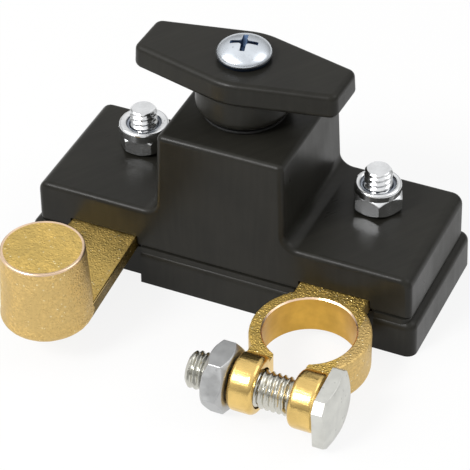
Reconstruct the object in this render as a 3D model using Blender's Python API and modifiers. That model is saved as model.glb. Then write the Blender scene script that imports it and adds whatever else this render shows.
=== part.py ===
"""Battery terminal disconnect switch: a moulded two-part housing with a turning knob,
a brass battery post on one arm and a brass post clamp on the other.

Frame: metres, +Z up, X along the housing, -Y towards the terminals.
The origin is the middle of the base's underside; the knob's axis stands a little left of it."""
import math

import bmesh
import bpy
from mathutils import Matrix, Vector

MM = 0.001

# Clearances between pieces
GAP = 0.3
RUN_GAP = 0.35

# Base tray
BASE_LENGTH = 88.4
BASE_DEPTH = 34.2
BASE_TOP = 8.3
BASE_FLOOR = 2.4
BASE_WALL = 2.3
BASE_DRAFT = 0.045
BASE_CORNER = 2.6
BASE_SHOULDER = 1.8
RIM_RISE = 0.9
RIM_INSET = 0.15

# Upper housing
END_STEP = 1.6
SIDE_STEP = 1.0
WING_RISE = 9.9
TOWER_WIDTH = 28.2
TOWER_RISE = 20.1
TOWER_FILLET = 3.0
HOUSING_WALL = 2.4
HOUSING_DRAFT = 0.026
HOUSING_ROUND = 1.3

# Places across the housing
KNOB_X = -0.9
STUD_INSET = 1.15
CLAMP_SHIFT = 1.3

# Brass arms that leave the front of the housing
ARM_WIDTH = 15.4
ARM_RISE = 1.8
ARM_THICKNESS = 3.4
ARM_BACK_ROOM = 1.5
CONTACT_HALF_DEPTH = 6.0
CONTACT_INNER_X = 7.4
NOTCH_WIDTH = 18.4
NOTCH_DEPTH = 2.6
ARM_EDGE = 0.35

# Battery post
POST_REACH = 25.95
POST_TOP_RADIUS = 8.75
POST_HEIGHT = 17.9
POST_TAPER = 1 / 18
POST_TOP_EDGE = 0.45
POST_FOOT_ROUND = 1.9
POST_ARM_STEP = 0.6

# Clamp ring
RING_ROOM = 0.06
RING_OUTER = 12.25
RING_BORE_TOP = 9.6
RING_BORE_TAPER = 1 / 18
RING_STRETCH = 1.04
RING_HEIGHT = 8.9
EAR_GAP = 7.4
EAR_THICKNESS = 4.9
EAR_WALL = 1.1
EAR_ROOT = 3.6
EAR_EDGE = 0.5

# Clamp bolt and nut
BOLT_REACH = 3.16
BOLT_DROP = 3.8
BOLT_RADIUS = 4.0
BOLT_LEAD = 0.8
BOLT_HEAD_FLATS = 13.0
BOLT_HEAD_HEIGHT = 3.7
BOLT_HEAD_CORNER = 1.9
BOLT_HEAD_TURN = 5.0
BOLT_HEAD_CHAMFER = 1.1
BOLT_END_PROUD = 5.3
CLAMP_NUT_FLATS = 13.0
CLAMP_NUT_HEIGHT = 5.6
CLAMP_NUT_TURN = 40.0
CLAMP_NUT_CHAMFER = 0.8

# Stud bolts and lock nuts
STUD_Y = 5.0
STUD_RADIUS = 3.0
STUD_PROUD = 3.5
STUD_LEAD = 0.6
STUD_BOSS_WALL = 2.2
STUD_HEAD_FLATS = 10.0
STUD_HEAD_HEIGHT = 3.6
STUD_HEAD_BOTTOM = 0.4
STUD_HEAD_CHAMFER = 0.6
STUD_SEAT_WALL = 1.9
LOCK_NUT_FLATS = 10.0
LOCK_NUT_HEX_HEIGHT = 4.3
LOCK_NUT_CHAMFER = 0.9
LOCK_NUT_COLLAR = 1.6
LOCK_NUT_COLLAR_WALL = 1.85
LOCK_NUT_COLLAR_EDGE = 0.5
LOCK_NUT_COLLAR_SINK = 0.6
LOCK_NUT_LIP = 0.35
LOCK_NUT_LIP_GAP = 0.85
INSERT_HEIGHT = 1.5
INSERT_WALL = 1.15
LEFT_NUT_TURN = 12.0
RIGHT_NUT_TURN = 28.0

# Knob
HUB_HEIGHT = 6.9
KNOB_THICKNESS = 5.3
KNOB_LENGTH = 45.4
KNOB_END_WIDTH = 10.8
KNOB_MIDDLE_WIDTH = 20.4
KNOB_MIDDLE_ROUND = 14.0
KNOB_END_ROUND = 2.0
KNOB_EDGE = 1.4
KNOB_DRAFT = 0.03
KNOB_TURN = -1.5
HUB_RADIUS = 10.8
HUB_FOOT_ROUND = 2.4
SOCKET_ROOF = 1.0
SCREW_HEAD_RADIUS = 6.15
SCREW_HEAD_HEIGHT = 2.5
SCREW_HEAD_RIM = 0.35
SCREW_RADIUS = 2.0
SCREW_LENGTH = 18.0
CROSS_SPAN = 5.4
CROSS_SLOT = 1.1
CROSS_DEPTH = 1.5

# Spindle, rotor and contacts
SPINDLE_RADIUS = 4.0
SPINDLE_DRIVE = 5.5
SPINDLE_SQUARE_STEP = 0.2
FLANGE_ROOM = 2.4
SPINDLE_FLANGE = 1.5
SEAL_THICKNESS = 0.5
SEAL_RADIUS = 9.0
SLEEVE_RADIUS = 7.4
THRUST_THICKNESS = 0.9
THRUST_RADIUS = 7.0
ROTOR_ROOM = 0.7
ROTOR_HEIGHT = 17.6
ROTOR_ROOF = 4.4
ROTOR_WALL = 2.2
BRIDGE_ROOM = 1.2
BRIDGE_WIDTH = 8.0
BRIDGE_CORNER = 2.0
BRIDGE_THICKNESS = 2.4
BRIDGE_EDGE = 0.35
GUIDE_ROOM = 2.0
SPRING_WIRE = 0.45
SPRING_RADIUS = 4.6
SPRING_TURNS = 5

# Levels and places that follow from the values above
WING_LENGTH = BASE_LENGTH - 2 * END_STEP
WING_DEPTH = BASE_DEPTH - 2 * SIDE_STEP
RIM_TOP = BASE_TOP + RIM_RISE
HOUSING_BOTTOM = RIM_TOP + GAP
WING_TOP = HOUSING_BOTTOM + WING_RISE
TOWER_TOP = WING_TOP + TOWER_RISE
STUD_X = (TOWER_WIDTH + WING_LENGTH) / 4 - STUD_INSET
POST_X = -STUD_X
CLAMP_X = STUD_X - CLAMP_SHIFT
ARM_TOP = HOUSING_BOTTOM + ARM_RISE
ARM_BOTTOM = ARM_TOP - ARM_THICKNESS
ARM_BACK_Y = WING_DEPTH / 2 - HOUSING_WALL - ARM_BACK_ROOM
POST_Y = -WING_DEPTH / 2 - POST_REACH
RING_BOTTOM = ARM_TOP - RING_HEIGHT
RING_HALF_DEPTH = RING_OUTER * RING_STRETCH
RING_Y = -WING_DEPTH / 2 - RING_ROOM - RING_HALF_DEPTH
BOLT_Y = RING_Y - RING_HALF_DEPTH - BOLT_REACH
BOLT_Z = ARM_TOP - BOLT_DROP
EAR_RADIUS = BOLT_RADIUS + EAR_WALL
EAR_INNER = EAR_GAP / 2
EAR_OUTER = EAR_INNER + EAR_THICKNESS
BOLT_HEAD_START = EAR_OUTER + GAP
NUT_START = -EAR_OUTER - GAP - CLAMP_NUT_HEIGHT
BOLT_END = NUT_START - BOLT_END_PROUD
LOCK_NUT_BOTTOM = WING_TOP + GAP
LOCK_NUT_HEIGHT = LOCK_NUT_HEX_HEIGHT + LOCK_NUT_COLLAR
STUD_TOP = LOCK_NUT_BOTTOM + LOCK_NUT_HEIGHT + STUD_PROUD
STUD_HEAD_TOP = STUD_HEAD_BOTTOM + STUD_HEAD_HEIGHT
STUD_POCKET_RADIUS = (STUD_HEAD_FLATS + 2 * GAP) / math.sqrt(3)
SEAL_BOTTOM = TOWER_TOP + GAP
HUB_BOTTOM = SEAL_BOTTOM + SEAL_THICKNESS + GAP
KNOB_BOTTOM = HUB_BOTTOM + HUB_HEIGHT
KNOB_TOP = KNOB_BOTTOM + KNOB_THICKNESS
SCREW_HEAD_BOTTOM = KNOB_TOP + GAP
SOCKET_TOP = KNOB_BOTTOM - SOCKET_ROOF
BRIDGE_LENGTH = WING_DEPTH - 2 * (HOUSING_WALL + BRIDGE_ROOM)
BRIDGE_BOTTOM = ARM_TOP + GAP
BRIDGE_TOP = BRIDGE_BOTTOM + BRIDGE_THICKNESS
ROTOR_RADIUS = min(TOWER_WIDTH, WING_DEPTH) / 2 - HOUSING_WALL - ROTOR_ROOM
ROTOR_BOTTOM = ARM_TOP + ROTOR_ROOM
ROTOR_TOP = ROTOR_BOTTOM + ROTOR_HEIGHT
THRUST_BOTTOM = ROTOR_TOP + GAP
SLEEVE_BOTTOM = THRUST_BOTTOM + THRUST_THICKNESS + GAP
SPINDLE_LOWER_SQUARE = 2 * (SPINDLE_RADIUS + SPINDLE_SQUARE_STEP)
SPINDLE_FLANGE_RADIUS = ROTOR_RADIUS - ROTOR_WALL - FLANGE_ROOM
FLANGE_TOP = ROTOR_TOP - ROTOR_ROOF - GAP
FLANGE_BOTTOM = FLANGE_TOP - SPINDLE_FLANGE

PARTS = "battery_disconnect_switch"
CUTTERS = "cutters"
CIRCLE = 48
SMALL_CIRCLE = 28


def clear_scene():
    """Take away whatever the scene holds."""
    for thing in list(bpy.data.objects):
        bpy.data.objects.remove(thing, do_unlink=True)
    for name in (PARTS, CUTTERS):
        group = bpy.data.collections.new(name)
        bpy.context.scene.collection.children.link(group)


def material(name, colour, roughness, metallic=0.0):
    """A Principled material with one colour."""
    made = bpy.data.materials.get(name) or bpy.data.materials.new(name)
    made.use_nodes = True
    shader = made.node_tree.nodes["Principled BSDF"]
    shader.inputs["Base Color"].default_value = (*colour, 1.0)
    shader.inputs["Roughness"].default_value = roughness
    shader.inputs["Metallic"].default_value = metallic
    return made


def black_plastic():
    return material("black_plastic", (0.035, 0.034, 0.030), 0.42)


def dark_plastic():
    return material("dark_plastic", (0.06, 0.05, 0.04), 0.5)


def rubber():
    return material("rubber", (0.015, 0.015, 0.015), 0.8)


def brass():
    return material("cast_brass", (0.62, 0.42, 0.14), 0.38, 1.0)


def zinc():
    return material("zinc_plate", (0.72, 0.73, 0.75), 0.28, 1.0)


def copper():
    return material("copper", (0.75, 0.36, 0.2), 0.3, 1.0)


def nylon():
    return material("nylon", (0.55, 0.57, 0.6), 0.5)


def add_object(name, mesh, collection=PARTS):
    """Put a mesh into the scene under the given name."""
    made = bpy.data.objects.new(name, mesh)
    bpy.data.collections[collection].objects.link(made)
    if collection == CUTTERS:
        made.hide_render = True
        made.display_type = "WIRE"
    return made


def to_mesh(name, shape):
    """Scale a bmesh built in millimetres to metres and store it."""
    bmesh.ops.scale(shape, vec=(MM, MM, MM), verts=shape.verts)
    bmesh.ops.recalc_face_normals(shape, faces=shape.faces)
    mesh = bpy.data.meshes.new(name)
    shape.to_mesh(mesh)
    shape.free()
    return mesh


def finish(thing, finish_material, angle=35.0):
    """Give a finished piece its material and its shading."""
    thing.data.materials.clear()
    thing.data.materials.append(finish_material)
    thing.data.shade_smooth()
    thing.data.set_sharp_from_angle(angle=math.radians(angle))
    return thing


def arc(centre_u, centre_v, radius, start, end, steps):
    """Points of an arc in a plane, angles in degrees."""
    points = []
    for step in range(steps + 1):
        angle = math.radians(start + (end - start) * step / steps)
        points.append((centre_u + radius * math.cos(angle), centre_v + radius * math.sin(angle)))
    return points


def prism(outline, low, high, axis="Z"):
    """A bmesh prism: an outline in millimetres swept along an axis from low to high."""
    place = {
        "Z": lambda u, v, w: (u, v, w),
        "Y": lambda u, v, w: (u, w, v),
        "X": lambda u, v, w: (w, u, v),
    }[axis]
    shape = bmesh.new()
    ring = [shape.verts.new(place(u, v, low)) for u, v in outline]
    face = shape.faces.new(ring)
    swept = bmesh.ops.extrude_face_region(shape, geom=[face])
    moved = [item for item in swept["geom"] if isinstance(item, bmesh.types.BMVert)]
    travel = Vector(place(0, 0, high)) - Vector(place(0, 0, low))
    bmesh.ops.translate(shape, vec=travel, verts=moved)
    return shape


def block(width, depth, low, high, x=0.0, y=0.0):
    """A rectangular bmesh block centred on x and y."""
    shape = bmesh.new()
    bmesh.ops.create_cube(shape, size=1.0)
    bmesh.ops.scale(shape, vec=(width, depth, high - low), verts=shape.verts)
    bmesh.ops.translate(shape, vec=(x, y, (low + high) / 2), verts=shape.verts)
    return shape


def rod(radius, low, high, x=0.0, y=0.0, segments=SMALL_CIRCLE, top_radius=None):
    """An upright bmesh cylinder or cone."""
    shape = bmesh.new()
    bmesh.ops.create_cone(shape, cap_ends=True, segments=segments, radius1=radius,
                          radius2=radius if top_radius is None else top_radius, depth=high - low)
    bmesh.ops.translate(shape, vec=(x, y, (low + high) / 2), verts=shape.verts)
    return shape


def turned(name, profile, x=0.0, y=0.0, steps=CIRCLE):
    """A piece turned about an upright axis from a profile of (radius, height), top to bottom."""
    mesh = bpy.data.meshes.new(name)
    points = [(radius * MM, 0, height * MM) for radius, height in profile]
    closed = profile[0][0] > 0 and profile[-1][0] > 0
    edges = [(k, k + 1) for k in range(len(points) - 1)]
    if closed:
        edges.append((len(points) - 1, 0))
    mesh.from_pydata(points, edges, [])
    made = add_object(name, mesh)
    made.location = (x * MM, y * MM, 0)
    screw = made.modifiers.new("turn", "SCREW")
    screw.axis = "Z"
    screw.steps = steps
    screw.render_steps = steps
    screw.use_merge_vertices = True
    screw.merge_threshold = 0.00001
    return made


def bake(thing):
    """Turn a piece with modifiers into a plain mesh at the scene's origin."""
    bpy.context.view_layer.update()
    graph = bpy.context.evaluated_depsgraph_get()
    mesh = bpy.data.meshes.new_from_object(thing.evaluated_get(graph))
    mesh.transform(thing.matrix_world)
    thing.modifiers.clear()
    thing.data = mesh
    thing.matrix_world = Matrix.Identity(4)
    return thing


def round_edges(thing, width, segments=3, angle=40.0):
    """Round the edges that are sharper than an angle."""
    bevel = thing.modifiers.new("edges", "BEVEL")
    bevel.width = width * MM
    bevel.segments = segments
    bevel.limit_method = "ANGLE"
    bevel.angle_limit = math.radians(angle)
    bevel.harden_normals = False
    return bevel


def boolean(thing, other, operation):
    """Cut or join with an EXACT Boolean, and leave the other shape among the cutters."""
    for group in list(other.users_collection):
        group.objects.unlink(other)
    bpy.data.collections[CUTTERS].objects.link(other)
    other.hide_render = True
    other.display_type = "WIRE"
    step = thing.modifiers.new(operation.lower(), "BOOLEAN")
    step.operation = operation
    step.solver = "EXACT"
    step.object = other
    return step


def cut(thing, name, shape):
    """Take a bmesh shape out of a piece."""
    boolean(thing, add_object(name, to_mesh(name, shape), CUTTERS), "DIFFERENCE")


def join(thing, name, shape):
    """Add a bmesh shape to a piece."""
    boolean(thing, add_object(name, to_mesh(name, shape), CUTTERS), "UNION")


def lean(shape, per_height, base_height, along):
    """Draft: pull the points towards the middle as they rise above a level."""
    for point in shape.verts:
        shift = (point.co.z - base_height) * per_height
        value = getattr(point.co, along)
        setattr(point.co, along, value - math.copysign(shift, value))
    return shape


def rounded_rectangle(length, depth, corner, steps=4):
    """Outline of a rectangle with round corners."""
    across, back = length / 2 - corner, depth / 2 - corner
    points = []
    for sign_x, sign_y, start in ((1, -1, 270), (1, 1, 0), (-1, 1, 90), (-1, -1, 180)):
        points += arc(sign_x * across, sign_y * back, corner, start, start + 90, steps)
    return points


def housing_outline(grow, bottom):
    """Front view of the wings and tower, grown outwards or, if negative, inwards."""
    rise = WING_TOP - bottom
    wing_half = WING_LENGTH / 2 + grow
    wing_foot = wing_half + rise * HOUSING_DRAFT
    tower_top = TOWER_WIDTH / 2 + grow
    tower_foot = tower_top + (TOWER_TOP - WING_TOP) * HOUSING_DRAFT
    fillet = max(TOWER_FILLET - grow, 0.6)
    wing_top, tower_roof = WING_TOP + grow, TOWER_TOP + grow
    right = [(wing_foot, bottom), (wing_half, wing_top)]
    right += arc(tower_foot + fillet, wing_top + fillet, fillet, 270, 180, 4)
    right += [(tower_top, tower_roof)]
    return right + [(-x, z) for x, z in reversed(right)]


def make_upper_housing():
    """Wings and tower: one shell, open below, with the shaft sleeve and the stud holes."""
    half = WING_DEPTH / 2
    spare = 2 * HOUSING_ROUND
    outer = prism(housing_outline(0, HOUSING_BOTTOM - spare), -half, half, "Y")
    lean(outer, HOUSING_DRAFT, WING_TOP, "y")
    body = add_object("upper_housing", to_mesh("upper_housing", outer))
    round_edges(body, HOUSING_ROUND, 3, 30.0)
    bake(body)
    cut(body, "housing_foot", block(2 * WING_LENGTH, 2 * WING_DEPTH, HOUSING_BOTTOM - 2 * spare, HOUSING_BOTTOM))
    inner_half = half - HOUSING_WALL
    cavity = prism(housing_outline(-HOUSING_WALL, HOUSING_BOTTOM - 1), -inner_half, inner_half, "Y")
    lean(cavity, HOUSING_DRAFT, WING_TOP, "y")
    cut(body, "housing_cavity", cavity)
    sleeve_top = TOWER_TOP - HOUSING_WALL / 2
    join(body, "shaft_sleeve", rod(SLEEVE_RADIUS, SLEEVE_BOTTOM, sleeve_top, KNOB_X, segments=CIRCLE))
    cut(body, "shaft_hole", rod(SPINDLE_RADIUS + RUN_GAP, SLEEVE_BOTTOM - 1, TOWER_TOP + 1, KNOB_X))
    for side, arm_x in ((-1, POST_X), (1, CLAMP_X)):
        x = side * STUD_X
        boss = rod(STUD_RADIUS + STUD_BOSS_WALL, ARM_TOP + GAP, WING_TOP - HOUSING_WALL / 2, x, STUD_Y)
        join(body, "stud_boss", boss)
        cut(body, "stud_hole", rod(STUD_RADIUS + GAP, HOUSING_BOTTOM - 1, WING_TOP + 1, x, STUD_Y))
        slot = block(ARM_WIDTH + 2 * GAP, half, HOUSING_BOTTOM - 1, ARM_TOP + GAP, arm_x, -half - 1)
        cut(body, "arm_slot", slot)
    bake(body)
    return finish(body, black_plastic())


def make_base_tray():
    """Tray with a floor, ribs that carry the brass arms, and notches under the arms."""
    outline = rounded_rectangle(BASE_LENGTH, BASE_DEPTH, BASE_CORNER)
    outer = prism(outline, -2 * BASE_SHOULDER, BASE_TOP)
    lean(outer, BASE_DRAFT, 0, "x")
    lean(outer, BASE_DRAFT, 0, "y")
    body = add_object("base_tray", to_mesh("base_tray", outer))
    round_edges(body, BASE_SHOULDER, 4, 50.0)
    bake(body)
    cut(body, "underside", block(2 * BASE_LENGTH, 2 * BASE_DEPTH, -5 * BASE_SHOULDER, 0))
    foot = 2 * ((WING_TOP - HOUSING_BOTTOM) * HOUSING_DRAFT - RIM_INSET)
    rim = rounded_rectangle(WING_LENGTH + foot, WING_DEPTH + foot, HOUSING_ROUND)
    join(body, "rim", prism(rim, BASE_TOP - 2 * BASE_SHOULDER, RIM_TOP))
    inside = rounded_rectangle(WING_LENGTH + foot - 2 * BASE_WALL, WING_DEPTH + foot - 2 * BASE_WALL, HOUSING_ROUND)
    cut(body, "tray_cavity", prism(inside, BASE_FLOOR, RIM_TOP + 1))
    rib_top = ARM_BOTTOM - GAP
    for side, arm_x in ((-1, POST_X), (1, CLAMP_X)):
        x = side * STUD_X
        front = -BASE_DEPTH / 2
        wall_back = front + NOTCH_DEPTH + BASE_WALL
        wall = block(NOTCH_WIDTH + 2 * BASE_WALL, BASE_WALL + 1, BASE_FLOOR / 2, rib_top,
                     x, wall_back - (BASE_WALL + 1) / 2)
        join(body, "notch_wall", wall)
        cut(body, "arm_notch", block(NOTCH_WIDTH, 2 * NOTCH_DEPTH, -1, RIM_TOP + 1, x, front))
        cut(body, "arm_relief", block(ARM_WIDTH + 2 * GAP, 2 * (NOTCH_DEPTH + BASE_WALL + 1), rib_top,
                                      RIM_TOP + 1, arm_x, front))
        seat = rod(STUD_POCKET_RADIUS + STUD_SEAT_WALL, BASE_FLOOR / 2, rib_top, x, STUD_Y, SMALL_CIRCLE)
        join(body, "stud_seat", seat)
        pocket = rod(STUD_POCKET_RADIUS, -1, STUD_HEAD_TOP + GAP, x, STUD_Y, 6)
        cut(body, "stud_pocket", pocket)
        cut(body, "stud_bore", rod(STUD_RADIUS + GAP, 0, rib_top + 1, x, STUD_Y))
    bake(body)
    return finish(body, black_plastic())


def arm_outline(side, x, end_half, end_y):
    """Plan of a flat arm: pad under the stud, contact tongue, and the bar that leaves the housing."""
    near, far = x - side * ARM_WIDTH / 2, x + side * ARM_WIDTH / 2
    front = -WING_DEPTH / 2
    tongue = KNOB_X + side * CONTACT_INNER_X
    return [(near, front), (x - side * end_half, end_y), (x + side * end_half, end_y), (far, front),
            (far, ARM_BACK_Y), (near, ARM_BACK_Y), (near, CONTACT_HALF_DEPTH), (tongue, CONTACT_HALF_DEPTH),
            (tongue, -CONTACT_HALF_DEPTH), (near, -CONTACT_HALF_DEPTH)]


def stud_hole_in(body, side):
    """Clearance hole for the stud through a brass pad."""
    hole = rod(STUD_RADIUS + GAP, ARM_BOTTOM - 1, ARM_TOP + 1, side * STUD_X, STUD_Y)
    cut(body, "pad_hole", hole)


def make_post_terminal():
    """Tapered battery post cast in one with its flat arm."""
    foot_radius = POST_TOP_RADIUS + POST_HEIGHT * POST_TAPER
    low = ARM_BOTTOM
    top = low + POST_HEIGHT
    arm = prism(arm_outline(-1, POST_X, foot_radius - POST_ARM_STEP, POST_Y), ARM_BOTTOM, ARM_TOP)
    body = add_object("post_terminal", to_mesh("post_terminal", arm))
    round_edges(body, ARM_EDGE, 2, 50.0)
    bake(body)
    profile = [(0, top), (POST_TOP_RADIUS - POST_TOP_EDGE, top)]
    profile += arc(POST_TOP_RADIUS - POST_TOP_EDGE, top - POST_TOP_EDGE, POST_TOP_EDGE, 60, 0, 2)
    profile += arc(foot_radius - POST_FOOT_ROUND, low + POST_FOOT_ROUND, POST_FOOT_ROUND, 0, -90, 5)
    profile += [(0, low)]
    post = turned("post", profile, POST_X, POST_Y)
    bake(post)
    boolean(body, post, "UNION")
    stud_hole_in(body, -1)
    bake(body)
    return finish(body, brass())


def ear_outline():
    """Side view (Y, Z) of a clamp ear: it leaves the ring and ends in a half round at the bolt."""
    root = RING_Y - RING_OUTER + EAR_ROOT
    points = [(root, RING_BOTTOM), (root, ARM_TOP)]
    return points + arc(BOLT_Y, BOLT_Z, EAR_RADIUS, 80, 280, 14)


def make_clamp_terminal():
    """Split clamp ring with two ears, cast in one with its flat arm."""
    stretch = RING_STRETCH
    arm = prism(arm_outline(1, CLAMP_X, ARM_WIDTH / 2, RING_Y + RING_OUTER / 3), ARM_BOTTOM, ARM_TOP)
    body = add_object("clamp_terminal", to_mesh("clamp_terminal", arm))
    round_edges(body, ARM_EDGE, 2, 50.0)
    bake(body)
    ring = rod(RING_OUTER, RING_BOTTOM, ARM_TOP, segments=CIRCLE)
    bmesh.ops.bevel(ring, geom=[edge for edge in ring.edges if abs(edge.verts[0].co.z - edge.verts[1].co.z) < 0.01],
                    offset=ARM_EDGE, segments=2, profile=0.5, affect="EDGES")
    bmesh.ops.scale(ring, vec=(1, stretch, 1), verts=ring.verts)
    bmesh.ops.translate(ring, vec=(CLAMP_X, RING_Y, 0), verts=ring.verts)
    join(body, "ring", ring)
    for side in (-1, 1):
        low, high = sorted((side * EAR_INNER, side * EAR_OUTER))
        ear = prism(ear_outline(), CLAMP_X + low, CLAMP_X + high, "X")
        ear_object = add_object("ear", to_mesh("ear", ear))
        round_edges(ear_object, EAR_EDGE, 2, 50.0)
        bake(ear_object)
        boolean(body, ear_object, "UNION")
    bore_foot = RING_BORE_TOP + RING_BORE_TAPER * (RING_HEIGHT + 1)
    bore = rod(bore_foot, RING_BOTTOM - 1, ARM_TOP + 1, segments=CIRCLE, top_radius=RING_BORE_TOP - RING_BORE_TAPER)
    bmesh.ops.scale(bore, vec=(1, stretch, 1), verts=bore.verts)
    bmesh.ops.translate(bore, vec=(CLAMP_X, RING_Y, 0), verts=bore.verts)
    cut(body, "ring_bore", bore)
    reach = RING_HALF_DEPTH + EAR_RADIUS
    cut(body, "ring_gap", block(EAR_GAP, reach, RING_BOTTOM - 4, ARM_TOP + 4, CLAMP_X,
                                RING_Y - RING_BORE_TOP + 1 - reach / 2))
    hole = prism(arc(BOLT_Y, BOLT_Z, BOLT_RADIUS + RUN_GAP, 0, 360 - 360 / SMALL_CIRCLE, SMALL_CIRCLE - 1),
                 CLAMP_X - EAR_OUTER - 1, CLAMP_X + EAR_OUTER + 1, "X")
    cut(body, "bolt_hole", hole)
    stud_hole_in(body, 1)
    bake(body)
    return finish(body, brass())


def polygon(sides, flats, turn, corner):
    """Outline of a regular polygon by its width across flats, its corners cut off, first flat facing turn degrees."""
    inner = flats / 2 - corner
    points = []
    for k in range(sides):
        angle = turn + 180 / sides + 360 * k / sides
        spot = math.radians(angle)
        reach = inner / math.cos(math.pi / sides)
        centre = (reach * math.cos(spot), reach * math.sin(spot))
        if corner:
            points += arc(*centre, corner, angle - 180 / sides, angle + 180 / sides, 1)
        else:
            points.append(centre)
    return points


def chamfer_cone(flats, corner_radius, height, drop, low_end=True, high_end=True):
    """Turned body that trims a nut's corners at one or both ends."""
    face = flats / 2 * 0.96
    slope = drop / max(corner_radius - face, 0.01)
    wide = corner_radius + 0.5
    fall = slope * (wide - face)
    profile = [(0, height)]
    profile += [(face, height), (wide, height - fall)] if high_end else [(wide, height)]
    profile += [(wide, fall), (face, 0)] if low_end else [(wide, 0)]
    return profile + [(0, 0)]


def along_x(thing, x, y, z):
    """Turn a piece made upright so that it points along +X, and put its foot at a place."""
    turn = Matrix.Rotation(math.radians(90), 4, "Z") @ Matrix.Rotation(math.radians(90), 4, "X")
    thing.data.transform(Matrix.Translation((x * MM, y * MM, z * MM)) @ turn)
    return thing


def nut_body(name, sides, flats, height, turn, drop, corner=0.0, low_end=True, high_end=True):
    """An upright nut or bolt head at the origin with chamfered corners."""
    outline = polygon(sides, flats, turn, corner)
    body = add_object(name, to_mesh(name, prism(outline, 0, height)))
    widest = max(math.hypot(u, v) for u, v in outline)
    profile = chamfer_cone(flats, widest, height, drop, low_end, high_end)
    trim = bake(turned(name + "_trim", profile))
    boolean(body, trim, "INTERSECT")
    return bake(body)


def make_clamp_bolt():
    """Square-head bolt through both ears."""
    head = nut_body("clamp_bolt", 4, BOLT_HEAD_FLATS, BOLT_HEAD_HEIGHT, BOLT_HEAD_TURN,
                    BOLT_HEAD_CHAMFER, BOLT_HEAD_CORNER, low_end=False)
    along_x(head, CLAMP_X + BOLT_HEAD_START, BOLT_Y, BOLT_Z)
    length = BOLT_HEAD_START - BOLT_END
    profile = [(0, length + 1), (BOLT_RADIUS, length + 1), (BOLT_RADIUS, BOLT_LEAD),
               (BOLT_RADIUS - BOLT_LEAD, 0), (0, 0)]
    shank = bake(turned("clamp_bolt_shank", profile, steps=32))
    along_x(shank, CLAMP_X + BOLT_END, BOLT_Y, BOLT_Z)
    boolean(head, shank, "UNION")
    bake(head)
    return finish(head, zinc())


def make_clamp_nut():
    """Hexagon nut on the clamp bolt."""
    nut = nut_body("clamp_nut", 6, CLAMP_NUT_FLATS, CLAMP_NUT_HEIGHT, CLAMP_NUT_TURN, CLAMP_NUT_CHAMFER)
    along_x(nut, CLAMP_X + NUT_START, BOLT_Y, BOLT_Z)
    hole = prism(arc(BOLT_Y, BOLT_Z, BOLT_RADIUS + GAP, 0, 360 - 360 / 32, 31),
                 CLAMP_X + NUT_START - 1, CLAMP_X + NUT_START + CLAMP_NUT_HEIGHT + 1, "X")
    cut(nut, "clamp_nut_hole", hole)
    bake(nut)
    return finish(nut, zinc())


def make_stud(side, name):
    """Stud bolt from under the base, through the brass pad and the wing."""
    head = nut_body(name, 6, STUD_HEAD_FLATS, STUD_HEAD_HEIGHT, 0, STUD_HEAD_CHAMFER, high_end=False)
    tip = STUD_TOP - STUD_HEAD_BOTTOM
    profile = [(0, tip), (STUD_RADIUS - STUD_LEAD, tip), (STUD_RADIUS, tip - STUD_LEAD),
               (STUD_RADIUS, STUD_HEAD_HEIGHT / 2), (0, STUD_HEAD_HEIGHT / 2)]
    shank = bake(turned(name + "_shank", profile, steps=SMALL_CIRCLE))
    boolean(head, shank, "UNION")
    bake(head)
    head.data.transform(Matrix.Translation((side * STUD_X * MM, STUD_Y * MM, STUD_HEAD_BOTTOM * MM)))
    return finish(head, zinc())


def make_lock_nut(side, name, turn):
    """Lock nut: a hexagon with a round collar rolled over a nylon ring."""
    nut = nut_body(name, 6, LOCK_NUT_FLATS, LOCK_NUT_HEX_HEIGHT, turn, LOCK_NUT_CHAMFER)
    top = LOCK_NUT_HEIGHT
    edge = LOCK_NUT_COLLAR_EDGE
    start = LOCK_NUT_HEX_HEIGHT - LOCK_NUT_COLLAR_SINK
    radius = STUD_RADIUS + LOCK_NUT_COLLAR_WALL
    collar = [(0, top), (radius - edge, top), (radius - edge * 0.3, top - edge * 0.3),
              (radius, top - edge), (radius, start), (0, start)]
    boolean(nut, bake(turned(name + "_collar", collar)), "UNION")
    cut(nut, name + "_bore", rod(STUD_RADIUS + GAP, -1, top + 1))
    insert_radius = STUD_RADIUS + INSERT_WALL
    seat = top - LOCK_NUT_LIP - INSERT_HEIGHT - 2 * GAP
    cut(nut, name + "_seat", rod(insert_radius + GAP, seat, top - LOCK_NUT_LIP))
    cut(nut, name + "_mouth", rod(STUD_RADIUS + LOCK_NUT_LIP_GAP, top - 1, top + 1))
    bake(nut)
    place = Matrix.Translation((side * STUD_X * MM, STUD_Y * MM, LOCK_NUT_BOTTOM * MM))
    nut.data.transform(place)
    insert = make_ring(name.replace("lock_nut", "nut_insert"), insert_radius, STUD_RADIUS + GAP,
                       seat + GAP, INSERT_HEIGHT, nylon())
    insert.data.transform(place)
    return finish(nut, zinc())


def make_ring(name, outer, inner, low, height, finish_material, edge=0.12):
    """A flat ring at the origin, with small chamfers."""
    high = low + height
    profile = [(inner, high), (outer - edge, high), (outer, high - edge), (outer, low + edge),
               (outer - edge, low), (inner, low)]
    return finish(bake(turned(name, profile, steps=SMALL_CIRCLE)), finish_material)


def knob_outline():
    """Plan of the lever: a long hexagon with a softly rounded middle."""
    half, end, middle = KNOB_LENGTH / 2, KNOB_END_WIDTH / 2, KNOB_MIDDLE_WIDTH / 2
    slant = math.atan2(middle - end, half)
    degrees = math.degrees(slant)
    tip_y = end - KNOB_END_ROUND * (1 - math.sin(slant)) / math.cos(slant)
    tip = arc(half - KNOB_END_ROUND, tip_y, KNOB_END_ROUND, 0, 90 - degrees, 4)
    bend = arc(0, middle - KNOB_MIDDLE_ROUND, KNOB_MIDDLE_ROUND, 90 - degrees, 90, 2)
    quarter = tip + bend
    right_back = quarter + [(-x, y) for x, y in reversed(quarter[:-1])]
    return right_back + [(-x, -y) for x, y in right_back]


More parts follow.
